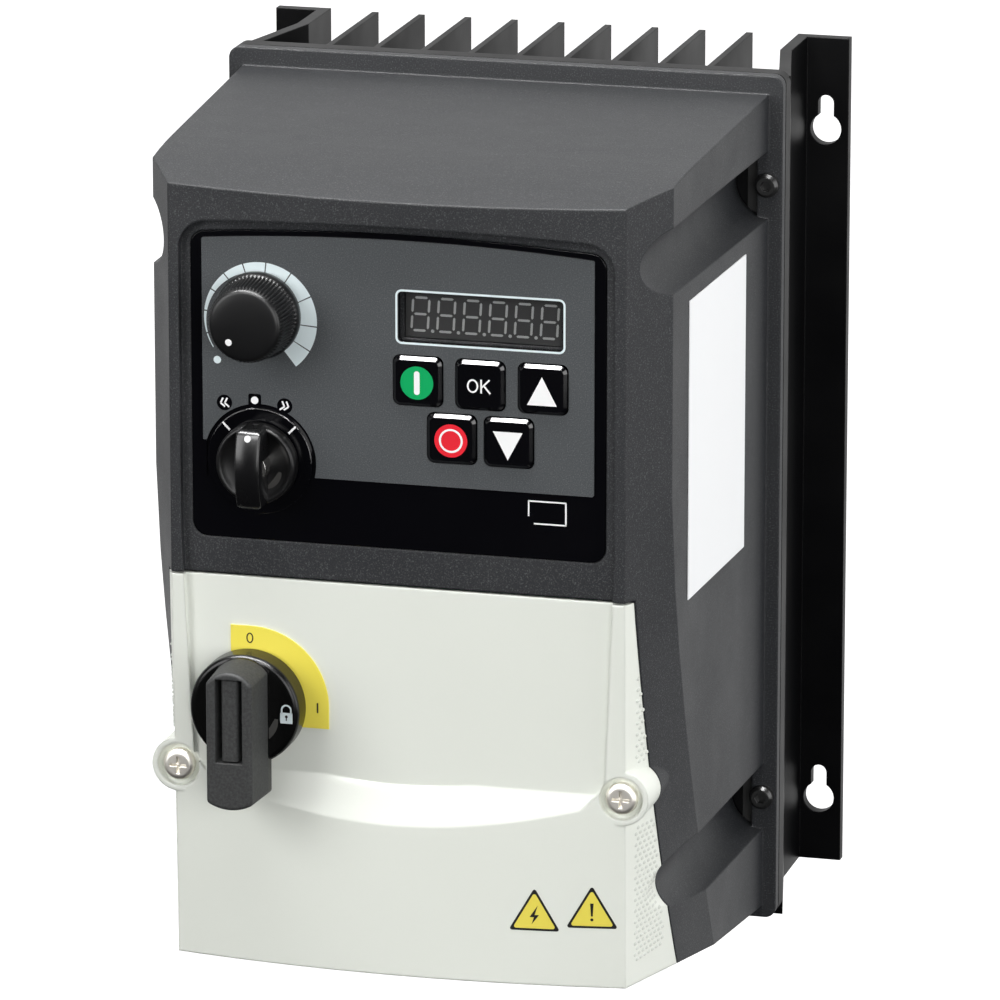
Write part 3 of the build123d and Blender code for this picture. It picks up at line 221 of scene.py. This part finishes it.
# every CAD node and the material it wears
NODE_MATERIALS = {
    DARK: ["housing"],
    LIGHT: ["terminal_cover"],
    CASTING: ["heatsink"],
    SEAL: ["housing_gasket", "cover_gasket", "shaft_seal", "blanking_plug"],
    BLACK_SCREW: ["housing_screws"],
    GLOSS: ["control_panel", "selector_bezel"],
    MEMBRANE: ["panel_overlay"],
    SMOKE: ["display_module"],
    WINDOW: ["display_window"],
    KEY: ["button_start", "button_enter", "button_up", "button_stop", "button_down"],
    SATIN: ["speed_knob", "selector_knob", "isolator_switch", "selector_switch", "tact_switches",
            "microcontroller"],
    HANDLE: ["isolator_handle", "lock_tongue"],
    SCREW: ["cover_screws"],
    STEEL: ["control_board_screws", "power_board_screws", "terminal_screws", "potentiometer", "pot_nut",
            "pot_shaft", "selector_shaft", "isolator_shaft", "data_port"],
    YELLOW: ["isolator_legend"],
    PAPER: ["side_label"],
    BOARD: ["control_board", "power_board"],
    BRASS: ["board_standoffs", "earth_studs"],
    PAD: ["thermal_pad"],
    MODULE: ["power_module"],
    SLEEVE: ["dc_capacitors"],
    COPPER: ["filter_choke"],
    BLUE: ["inrush_relay"],
    TAPE: ["supply_transformer"],
    BLOCK_GREY: ["power_terminals"],
    BLOCK_GREEN: ["control_terminals"],
}
for material, names in NODE_MATERIALS.items():
    for name in names:
        nodes[name].data.materials.clear()
        nodes[name].data.materials.append(material)


# ---------------------------------------------------------------- shape helpers
def add_object(name, mesh, material, body):
    """Links a mesh (vertices in mm) as a visual piece that rides on a CAD body."""
    mesh.transform(Matrix.Scale(MM, 4))
    mesh.materials.append(material)
    obj = bpy.data.objects.new(name, mesh)
    bpy.context.scene.collection.objects.link(obj)
    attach(obj, body)
    return obj


def around(x, z, radius, angle):
    """The point at a radius and an angle (radians) from x, z."""
    return x + radius * math.cos(angle), z + radius * math.sin(angle)


def oval(x, z, half_width, half_height, count):
    """Points of an upright or lying ellipse."""
    turns = [2 * math.pi * i / count for i in range(count)]
    return [(x + half_width * math.cos(a), z + half_height * math.sin(a)) for a in turns]


def disc(x, z, radius, count=48):
    return oval(x, z, radius, radius, count)


def round_rect(x, z, width, height, radius, count=6):
    """Corner points of a rounded rectangle centred at x, z."""
    points = []
    for sx, sz, start in ((1, 1, 0), (-1, 1, 90), (-1, -1, 180), (1, -1, 270)):
        cx, cz = x + sx * (width / 2 - radius), z + sz * (height / 2 - radius)
        for i in range(count + 1):
            a = math.radians(start + 90 * i / count)
            points.append((cx + radius * math.cos(a), cz + radius * math.sin(a)))
    return points


def bar(x0, z0, x1, z1, width):
    """A straight stroke from one point to another."""
    dx, dz = x1 - x0, z1 - z0
    length = math.hypot(dx, dz)
    nx, nz = -dz / length * width / 2, dx / length * width / 2
    return [(x0 + nx, z0 + nz), (x1 + nx, z1 + nz), (x1 - nx, z1 - nz), (x0 - nx, z0 - nz)]


def chevron(x, z, size, side, turn, width):
    """Two strokes meeting in a point that faces side (-1 left, 1 right), turned in degrees about x, z."""
    a = math.radians(turn)

    def spin(px, pz):
        return x + px * math.cos(a) - pz * math.sin(a), z + px * math.sin(a) + pz * math.cos(a)

    tip = spin(side * size * 0.5, 0)
    back = -side * size * 0.3
    return [bar(*spin(back, end), *tip, width) for end in (size, -size)]


def ring(outer, inner):
    """Quads between two loops with the same number of points."""
    n = len(outer)
    return [[outer[i], outer[(i + 1) % n], inner[(i + 1) % n], inner[i]] for i in range(n)]


def triangle(x, z, size):
    """A triangle with softened corners standing on its base, centred at x, z."""
    points = []
    for k in range(3):
        a = math.radians(90 + 120 * k)
        cx, cz = x + size * math.cos(a), z + size * math.sin(a)
        for i in range(5):
            b = a + math.radians(-60 + 30 * i)
            points.append((cx + 0.5 * math.cos(b), cz + 0.5 * math.sin(b)))
    return points


def crescent(x, z, inner, outer, start, end, count=14):
    """A curved stroke about x, z that narrows to points at both ends."""
    quads = []
    for i in range(count):
        quad = []
        for f, out in ((i / count, 1), ((i + 1) / count, 1), ((i + 1) / count, -1), (i / count, -1)):
            a = math.radians(start + (end - start) * f)
            r = (inner + outer) / 2 + out * (outer - inner) / 2 * max(0.12, math.sin(math.pi * f)) ** 0.35
            quad.append((x + r * math.cos(a), z + r * math.sin(a)))
        quads.append(quad)
    return quads


def from_bmesh(name, bm, material, body):
    """Turns a bmesh (in mm) into a visual piece that rides on a CAD body."""
    mesh = bpy.data.meshes.new(name)
    bm.to_mesh(mesh)
    bm.free()
    return add_object(name, mesh, material, body)


def face_front(face):
    """Turns a printed face to the front."""
    face.normal_update()
    if face.normal.y > 0:
        face.normal_flip()


def prints(name, body, material, faces, depth, lift=0.04):
    """Flat printed shapes: faces are lists of (x, z) corners, all lying just in front of one depth."""
    bm = bmesh.new()
    for corners in faces:
        face_front(bm.faces.new([bm.verts.new((x, -depth - lift, z)) for x, z in corners]))
    return from_bmesh(name, bm, material, body)


def turned(name, body, material, x, z, rings, segments=180, teeth=0):
    """A turned piece about the depth axis: rings are (depth, radius, knurl depth), from back to front."""
    bm = bmesh.new()
    loops = []
    for depth, radius, knurl in rings:
        loop = []
        for i in range(segments):
            a = 2 * math.pi * i / segments
            r = radius - (knurl * (0.5 - 0.5 * math.cos(teeth * a)) if teeth else 0)
            loop.append(bm.verts.new((x + r * math.cos(a), -depth, z + r * math.sin(a))))
        loops.append(loop)
    for low, high in zip(loops, loops[1:]):
        for i in range(segments):
            j = (i + 1) % segments
            bm.faces.new((low[i], low[j], high[j], high[i])).smooth = True
    bm.faces.new(loops[-1])
    bm.faces.new(list(reversed(loops[0])))
    bmesh.ops.recalc_face_normals(bm, faces=bm.faces)
    return from_bmesh(name, bm, material, body)


def surface_of(node):
    """Two functions that look straight at a CAD node.

    The first gives the depth (mm) of its front at x, z. The second gives the place (m) and the normal of its
    left (-1) or right (1) side at a depth and z, or None where it sees nothing.
    """
    mesh = nodes[node].data
    corners = [nodes[node].matrix_world @ v.co for v in mesh.vertices]
    tree = BVHTree.FromPolygons(corners, [p.vertices for p in mesh.polygons])

    def front(x, z):
        hit = tree.ray_cast(Vector((x * MM, -0.4, z * MM)), Vector((0, 1, 0)))[0]
        return -hit.y / MM

    def side(depth, z, sign):
        hit = tree.ray_cast(Vector((sign * 0.2, -depth * MM, z * MM)), Vector((-sign, 0, 0)))
        return hit[0], hit[1]

    return front, side


def decals(name, body, material, faces, depth_at, lift=0.05):
    """Printed shapes laid on a curved front."""
    bm = bmesh.new()
    for corners in faces:
        bm.faces.new([bm.verts.new((x, 0, z)) for x, z in corners])
    bmesh.ops.triangulate(bm, faces=bm.faces)
    for _ in range(3):
        long_edges = [e for e in bm.edges if e.calc_length() > 1.5]
        if long_edges:
            bmesh.ops.subdivide_edges(bm, edges=long_edges, cuts=1)
            bmesh.ops.triangulate(bm, faces=bm.faces)
    for v in bm.verts:
        v.co.y = -depth_at(v.co.x, v.co.z) - lift
    for face in bm.faces:
        face_front(face)
    return from_bmesh(name, bm, material, body)


# ---------------------------------------------------------------- panel print
# depths of the surfaces that carry print
PANEL_D = 167.1
FILM_D = 167.5
CAP_D = 168.7
BEZEL_D = 168.1
DISPLAY_D = 164.5
DIAL_D = 175.1
LEGEND_D = 167.3
SELECTOR_DISC_D = 171.4
OVER = 0.07  # lift of a print that lies on another
POT = (-36.6, 74.9)
SELECTOR = (-36.6, 36.2)
BASE = "drive_base"
COVER = "terminal_cover"

# scale round the speed knob: it thickens clockwise and is split by thin gaps
SCALE_CENTRE = (-36.2, 73.5)
SCALE_R = 15.05
SCALE_GAP = 0.65  # degrees
SCALE_STEPS = 8
# angle (degrees) and thickness at each gap
SPLITS = [(213, 0.25), (197, 0.35), (174, 0.75), (151, 1.3), (130, 1.9), (108, 2.4),
          (84, 3.0), (57, 3.9), (27, 4.6), (-4, 5.1), (-30, 5.5), (-52, 5.9)]
scale_faces = []
for (a0, t0), (a1, t1) in zip(SPLITS, SPLITS[1:]):
    edges = []
    for i in range(SCALE_STEPS + 1):
        f = i / SCALE_STEPS
        a = math.radians(a0 - SCALE_GAP + (a1 - a0 + 2 * SCALE_GAP) * f)
        inner_r = SCALE_R - t0 - (t1 - t0) * f
        edges.append((around(*SCALE_CENTRE, SCALE_R, a), around(*SCALE_CENTRE, inner_r, a)))
    for start, end in zip(edges, edges[1:]):
        scale_faces.append([start[0], end[0], end[1], start[1]])
prints("speed_scale", BASE, PALE, scale_faces, FILM_D)

prints("scale_start_dot", BASE, PALE, [disc(-47.8, 62.2, 1.0)], FILM_D)
white = [disc(-37.9, 52.1, 1.0)]
black = [disc(-46.0, 51.0, 2.05), disc(-29.9, 51.1, 2.05), round_rect(-37.9, 51.4, 3.4, 4.8, 0.5),
         round_rect(-51.4, 36.2, 1.0, 9.4, 0.1)]
prints("selector_marks_ground", BASE, GLOSS, black, FILM_D, 0.02)
arrows = []
for dx in (-0.45, 0.65):
    arrows += chevron(-46.0 + dx, 51.0, 1.2, -1, 13, 0.45)
    arrows += chevron(-29.9 - dx, 51.1, 1.2, 1, -17, 0.45)
prints("selector_marks", BASE, WHITE, white + arrows, FILM_D)
ticks = []
for angle in (45, 135):
    a = math.radians(angle)
    ticks.append(bar(*around(*SELECTOR, 11.1, a), *around(*SELECTOR, 13.8, a), 0.55))
prints("selector_ticks", BASE, WHITE, ticks, BEZEL_D)

# display outline and unlit digits
window = round_rect(21.95, 76.65, 44.7, 14.3, 1.7)
prints("display_outline", BASE, PALE, ring(window, round_rect(21.95, 76.65, 43.6, 13.2, 1.2)), FILM_D)
DIGIT_W, DIGIT_H, STROKE, SLANT = 4.3, 8.6, 0.62, 0.06
DIGIT_LEFT, DIGIT_LOW, DIGIT_PITCH, DIGIT_COUNT = 3.0, 72.6, 6.8, 6
TAPER, NOTCH = 0.35, 0.4
segments, dots = [], []
for digit in range(DIGIT_COUNT):
    x0, z0 = DIGIT_LEFT + DIGIT_PITCH * digit, DIGIT_LOW

    def lean(px, pz):
        return x0 + px + SLANT * pz, z0 + pz

    for z in (0, DIGIT_H / 2, DIGIT_H):
        left, right = 0.45, DIGIT_W - 0.45
        segments.append([
            lean(left, z), lean(left + TAPER, z + STROKE / 2), lean(right - TAPER, z + STROKE / 2),
            lean(right, z), lean(right - TAPER, z - STROKE / 2), lean(left + TAPER, z - STROKE / 2),
        ])
    for px in (0, DIGIT_W):
        for base in (0, DIGIT_H / 2):
            foot, top = base + NOTCH, base + DIGIT_H / 2 - NOTCH
            segments.append([
                lean(px, foot), lean(px + STROKE / 2, foot + TAPER), lean(px + STROKE / 2, top - TAPER),
                lean(px, top), lean(px - STROKE / 2, top - TAPER), lean(px - STROKE / 2, foot + TAPER),
            ])
    if digit < DIGIT_COUNT - 1:
        dots.append(disc(x0 + DIGIT_W + 1.3, z0, 0.45, 16))
prints("display_digits", BASE, SEGMENT, segments + dots, DISPLAY_D)

# plain outlined box on the gloss part of the panel
box = [bar(34.5, 30.4, 44.5, 30.4, 0.4), bar(44.4, 30.5, 44.4, 24.4, 0.4),
       bar(44.5, 24.5, 36.0, 24.5, 0.4), bar(34.6, 30.5, 34.6, 26.4, 0.4)]
prints("panel_icon", BASE, WHITE, box, PANEL_D)

# ---------------------------------------------------------------- key print
KEYS = {
    "button_start": (5.55, 60.1),
    "button_enter": (22.0, 60.1),
    "button_up": (38.45, 60.1),
    "button_stop": (14.5, 45.5),
    "button_down": (29.5, 45.5),
}
x, z = KEYS["button_start"]
prints("start_disc", "button_start", GREEN, [disc(x, z - 0.3, 4.35)], CAP_D)
prints("start_bar", "button_start", WHITE, [round_rect(x, z - 0.3, 1.5, 6.2, 0.7)], CAP_D, OVER)
x, z = KEYS["button_stop"]
prints("stop_disc", "button_stop", RED, [disc(x, z - 0.3, 4.35)], CAP_D)
prints("stop_ring", "button_stop", WHITE, ring(disc(x, z - 0.3, 3.15), disc(x, z - 0.3, 2.6)), CAP_D, OVER)
x, z = KEYS["button_up"]
prints("up_mark", "button_up", WHITE, [[(x - 3.9, z - 4.1), (x + 3.9, z - 4.1), (x, z + 3.4)]], CAP_D)
x, z = KEYS["button_down"]
prints("down_mark", "button_down", WHITE, [[(x - 3.9, z + 3.0), (x + 3.9, z + 3.0), (x, z - 4.4)]], CAP_D)
x, z = KEYS["button_enter"]
letter_o = ring(oval(x - 1.75, z - 0.1, 1.5, 1.8, 32), oval(x - 1.75, z - 0.1, 1.05, 1.35, 32))
letter_k = [bar(x + 0.5, z - 1.9, x + 0.5, z + 1.7, 0.45), bar(x + 0.6, z - 0.4, x + 2.7, z + 1.7, 0.45),
            bar(x + 1.2, z + 0.1, x + 2.9, z - 1.9, 0.45)]
prints("enter_mark", "button_enter", WHITE, letter_o + letter_k, CAP_D)

# ---------------------------------------------------------------- knobs
knob = turned(
    "speed_knob_grip", "speed_knob", SATIN, *POT,
    [(168.0, 11.1, 0), (168.25, 11.4, 0), (169.7, 11.4, 0), (170.2, 11.1, 0), (170.9, 10.75, 0),
     (171.1, 10.7, 0.5), (178.9, 10.15, 0.5), (179.5, 9.95, 0.4), (180.0, 9.5, 0), (180.7, 9.3, 0),
     (181.0, 8.9, 0), (181.15, 8.3, 0), (181.35, 6.5, 0), (181.5, 4.5, 0), (181.6, 2.5, 0), (181.65, 0.8, 0)],
    segments=528, teeth=66,
)
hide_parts("speed_knob")
# the knob's convex cap: depth at its middle, and its fall per square millimetre of radius
CAP_FRONT, CAP_FALL = 181.66, 0.008
dot = disc(*around(*POT, 5.9, math.radians(228)), 0.9)
decals("speed_knob_dot", "speed_knob", WHITE, [dot],
       lambda x, z: CAP_FRONT - CAP_FALL * ((x - POT[0]) ** 2 + (z - POT[1]) ** 2), 0.06)

# selector grip: half length, front depth at its middle, and how far the front falls back to its ends
GRIP_LENGTH, GRIP_FRONT, GRIP_FALL = 10.5, 180.0, 2.4


def selector_bar(x, z):
    """The selector's grip: a rocker-shaped bar with a convex front."""
    bm = bmesh.new()
    count, root, ridge, mitre = 28, 169.5, 0.55, 0.18
    rows = []
    for i in range(count + 1):
        t = -1 + 2 * i / count
        end = max(0.0, abs(t) - 0.9) / 0.1
        half = 3.3 * math.sqrt(max(0.02, 1 - 0.55 * end * end))
        front = GRIP_FRONT - GRIP_FALL * t * t - 0.8 * end * end
        flank = [(half, root), (half, front - ridge), (half - mitre, front - mitre), (half - ridge, front)]
        profile = [(-px, d) for px, d in flank] + list(reversed(flank))
        rows.append([bm.verts.new((x + px, -d, z + GRIP_LENGTH * t)) for px, d in profile])
    for low, high in zip(rows, rows[1:]):
        for j in range(len(low) - 1):
            bm.faces.new((low[j], low[j + 1], high[j + 1], high[j])).smooth = True
    bm.faces.new(rows[0])
    bm.faces.new(list(reversed(rows[-1])))
    bmesh.ops.recalc_face_normals(bm, faces=bm.faces)
    return from_bmesh("selector_grip", bm, GRIP_BLACK, "selector_knob")


grip = selector_bar(*SELECTOR)
grip_base = turned(
    "selector_disc", "selector_knob", SATIN, *SELECTOR,
    [(168.6, 10.4, 0), (168.8, 10.6, 0), (171.9, 10.5, 0), (172.5, 10.1, 0),
     (172.6, 9.6, 0), (172.2, 9.0, 0), (171.4, 8.0, 0), (171.2, 1.0, 0)],
)
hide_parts("selector_knob")
decals("selector_dot", "selector_knob", WHITE, [disc(SELECTOR[0], SELECTOR[1] + 8.5, 0.85)],
       lambda x, z: GRIP_FRONT - GRIP_FALL * ((z - SELECTOR[1]) / GRIP_LENGTH) ** 2, 0.06)
# grey crescent on the selector disc: a painted highlight where its groove catches the light
groove_sheen = crescent(*SELECTOR, 5.9, 7.5, -14, -62)
prints("selector_groove_sheen", "selector_knob", GROOVE_SHEEN, groove_sheen, SELECTOR_DISC_D, 0.03)

# ---------------------------------------------------------------- isolator marks
ISO = (-39.3, -28.8)
# grey crescent on the isolator disc: a painted highlight where its groove catches the light
groove_sheen = crescent(*ISO, 8.0, 9.9, -10, -58)
prints("isolator_groove_sheen", "isolator_handle", GROOVE_SHEEN, groove_sheen, DIAL_D, 0.03)
zero = ring(oval(-39.8, -11.4, 0.95, 1.4, 32), oval(-39.8, -11.4, 0.6, 1.05, 32))
one = bar(-21.7, -30.3, -21.7, -27.6, 0.42)
prints("isolator_legend_marks", COVER, BLACK_INK, zero + [one], LEGEND_D)
x, z = -27.8, -29.0
bow = []
for i in range(12):
    a0, a1 = math.pi * i / 12, math.pi * (i + 1) / 12
    bow.append([around(x, z + 1.3, r, a) for r, a in ((1.45, a0), (1.45, a1), (1.0, a1), (1.0, a0))])
legs = [bar(x + px, z + 0.2, x + px, z + 1.35, 0.45) for px in (-1.22, 1.22)]
prints("lock_mark", "isolator_handle", PALE, bow + legs + [round_rect(x, z - 0.9, 3.3, 2.9, 0.2)], DIAL_D)
keyhole = [disc(x, z - 0.5, 0.38, 16), bar(x, z - 0.6, x, z - 1.6, 0.3)]
prints("lock_mark_keyhole", "isolator_handle", BLACK_INK, keyhole, DIAL_D, OVER)

# ---------------------------------------------------------------- terminal cover
cover_front, cover_side = surface_of(COVER)
SIGNS = [(37.0, -79.6), (51.8, -78.4)]
decals("caution_borders", COVER, BLACK_INK, [triangle(x, z, 6.7) for x, z in SIGNS], cover_front, 0.08)
decals("caution_fields", COVER, YELLOW_INK, [triangle(x, z, 5.5) for x, z in SIGNS], cover_front, 0.12)
x, z = SIGNS[0]
bolt = [[(x + 0.9, z + 3.0), (x - 1.2, z - 0.2), (x - 0.1, z - 0.2)],
        [(x + 1.2, z + 0.4), (x + 0.1, z + 0.4), (x - 0.7, z - 2.2)]]
x, z = SIGNS[1]
mark = [[(x - 0.45, z + 2.9), (x + 0.45, z + 2.9), (x + 0.22, z - 0.6), (x - 0.22, z - 0.6)],
        disc(x, z - 1.5, 0.4, 16)]
decals("caution_symbols", COVER, BLACK_INK, bolt + mark, cover_front, 0.16)


def grip_dimples():
    """Rows of small raised grains on both cheeks of the terminal cover."""
    rows, row_pitch, top_z = 56, 1.5, -10.0
    columns, column_pitch, margin = 8, 2.3, 5.6
    screw_z, screw_gap, back_limit, back_slope = -47.0, 8.2, 163.6, 0.245
    front_top, lean, seam = 168.8, 2.8 / 103.8, 5.5
    least_half_width = 55
    half_depth, half_height, height, sink = 0.9, 0.6, 0.5, 0.05
    up = Vector((0, 0, 1))
    bm = bmesh.new()
    for sign in (-1, 1):
        for row in range(rows):
            z = top_z - row_pitch * row
            if abs(z - screw_z) < screw_gap:
                continue
            corner = front_top - lean * (seam - z)
            for column in range(columns):
                depth = corner - margin - column_pitch * (column + 0.5 * (row % 2))
                if depth < back_limit - back_slope * (top_z - z):
                    continue
                place, normal = cover_side(depth, z, sign)
                if place is None or abs(place.x) / MM < least_half_width:
                    continue
                p = place / MM
                n = normal.normalized()
                if n.x * sign < 0:
                    n = -n
                along = n.cross(up).normalized()
                top = bm.verts.new(p + n * height)
                rim = []
                for k in range(8):
                    a = math.pi * k / 4
                    out = along * half_depth * math.cos(a) + up * half_height * math.sin(a)
                    rim.append(bm.verts.new(p - n * sink + out))
                for k in range(8):
                    bm.faces.new((rim[k], rim[(k + 1) % 8], top)).smooth = True
    bmesh.ops.recalc_face_normals(bm, faces=bm.faces)
    # the grains wear the darker copy of the cover's plastic, as painted shade
    return from_bmesh("cover_grip", bm, GRIP_SHADED, COVER)


grip_dimples()

# ---------------------------------------------------------------- camera
def aim(camera, position, yaw, pitch):
    """Places the camera at position (mm), turned yaw degrees to the left of +Y and pitch degrees down."""
    y, p = math.radians(yaw), math.radians(pitch)
    forward = Vector((-math.sin(y) * math.cos(p), math.cos(y) * math.cos(p), -math.sin(p)))
    camera.location = Vector(position) * MM
    camera.rotation_mode = "QUATERNION"
    camera.rotation_quaternion = forward.to_track_quat("-Z", "Y")


camera_data = bpy.data.cameras.new("camera")
camera = bpy.data.objects.new("camera", camera_data)
bpy.context.scene.collection.objects.link(camera)
camera_data.sensor_width = 36.0
camera_data.lens = 288.7
camera_data.clip_start = 0.1
camera_data.clip_end = 20.0
camera_data.dof.use_dof = False
aim(camera, (537.96, -2072.6, 563.5), 15.01, 15.13)
bpy.context.scene.camera = camera


# ---------------------------------------------------------------- floor
# in metres: the drive hangs on a wall, well above the floor
FLOOR_HALF, FLOOR_DROP = 12.0, 1.4
floor_z = cad_low[2] - FLOOR_DROP
floor_mesh = bpy.data.meshes.new("floor")
corners = [(sx * FLOOR_HALF, sy * FLOOR_HALF, floor_z) for sx, sy in ((-1, -1), (1, -1), (1, 1), (-1, 1))]
floor_mesh.from_pydata(corners, [], [(0, 1, 2, 3)])
floor_mesh.materials.append(FLOOR)
floor = bpy.data.objects.new("floor", floor_mesh)
bpy.context.scene.collection.objects.link(floor)
floor.visible_diffuse = floor.visible_glossy = floor.visible_shadow = False
floor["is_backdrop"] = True


# ---------------------------------------------------------------- light
def softbox(name, position, target, width, height, watts):
    """A rectangular area light at position aimed at target, all in mm."""
    data = bpy.data.lights.new(name, "AREA")
    data.shape = "RECTANGLE"
    data.size = width * MM
    data.size_y = height * MM
    data.energy = watts
    lamp = bpy.data.objects.new(name, data)
    bpy.context.scene.collection.objects.link(lamp)
    lamp.location = Vector(position) * MM
    lamp.rotation_mode = "QUATERNION"
    lamp.rotation_quaternion = (Vector(target) - Vector(position)).to_track_quat("-Z", "Y")
    return lamp


softbox("key_left", (-900, -1100, 500), (0, -100, 0), 700, 1000, 13)
softbox("top", (0, -200, 1200), (0, -80, 0), 900, 700, 15)
softbox("front_fill", (900, -1700, 300), (0, -100, 0), 1200, 900, 17)
softbox("right_side", (1300, -350, 250), (70, -100, 0), 700, 1000, 9)
# these two show only in reflections: they give no diffuse light
strip = softbox("top_strip", (-150, -480, 1200), (0, -170, 0), 1400, 160, 60)
strip.visible_diffuse = False
high = softbox("high_front", (-100, -1500, 1050), (-40, -170, 0), 1000, 400, 26)
high.visible_diffuse = False

# the camera sees plain white; other rays see it bright behind the drive (+Y) and dimmer from below
world = bpy.data.worlds.new("white_surround")
bpy.context.scene.world = world
world.use_nodes = True
tree = world.node_tree
tree.nodes.clear()
world_out = tree.nodes.new("ShaderNodeOutputWorld")
seen = tree.nodes.new("ShaderNodeBackground")
seen.inputs["Color"].default_value = (1, 1, 1, 1)
seen.inputs["Strength"].default_value = 1.05
glow = tree.nodes.new("ShaderNodeBackground")
glow.inputs["Strength"].default_value = 1.0
direction = tree.nodes.new("ShaderNodeTexCoord")
split = tree.nodes.new("ShaderNodeSeparateXYZ")
tree.links.new(direction.outputs["Generated"], split.inputs["Vector"])
behind = ramp(tree, split.outputs["Y"], [(0.05, 0.02), (0.35, 0.9)])
height = tree.nodes.new("ShaderNodeMath")
height.operation = "ADD"
height.inputs[1].default_value = 1.0
tree.links.new(split.outputs["Z"], height.inputs[0])
lower = ramp(tree, height.outputs["Value"], [(0.42, 0.3), (0.70, 1.0)])
both = tree.nodes.new("ShaderNodeMix")
both.data_type = "RGBA"
both.blend_type = "MULTIPLY"
both.inputs["Factor"].default_value = 1.0
tree.links.new(behind, both.inputs[6])
tree.links.new(lower, both.inputs[7])
tree.links.new(both.outputs[2], glow.inputs["Color"])
choose = tree.nodes.new("ShaderNodeMixShader")
rays = tree.nodes.new("ShaderNodeLightPath")
tree.links.new(rays.outputs["Is Camera Ray"], choose.inputs["Fac"])
tree.links.new(glow.outputs["Background"], choose.inputs[1])
tree.links.new(seen.outputs["Background"], choose.inputs[2])
tree.links.new(choose.outputs["Shader"], world_out.inputs["Surface"])

bpy.context.scene.view_settings.view_transform = "Standard"
bpy.context.scene.view_settings.look = "None"

# ---------------------------------------------------------------- bounds
low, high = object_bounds()
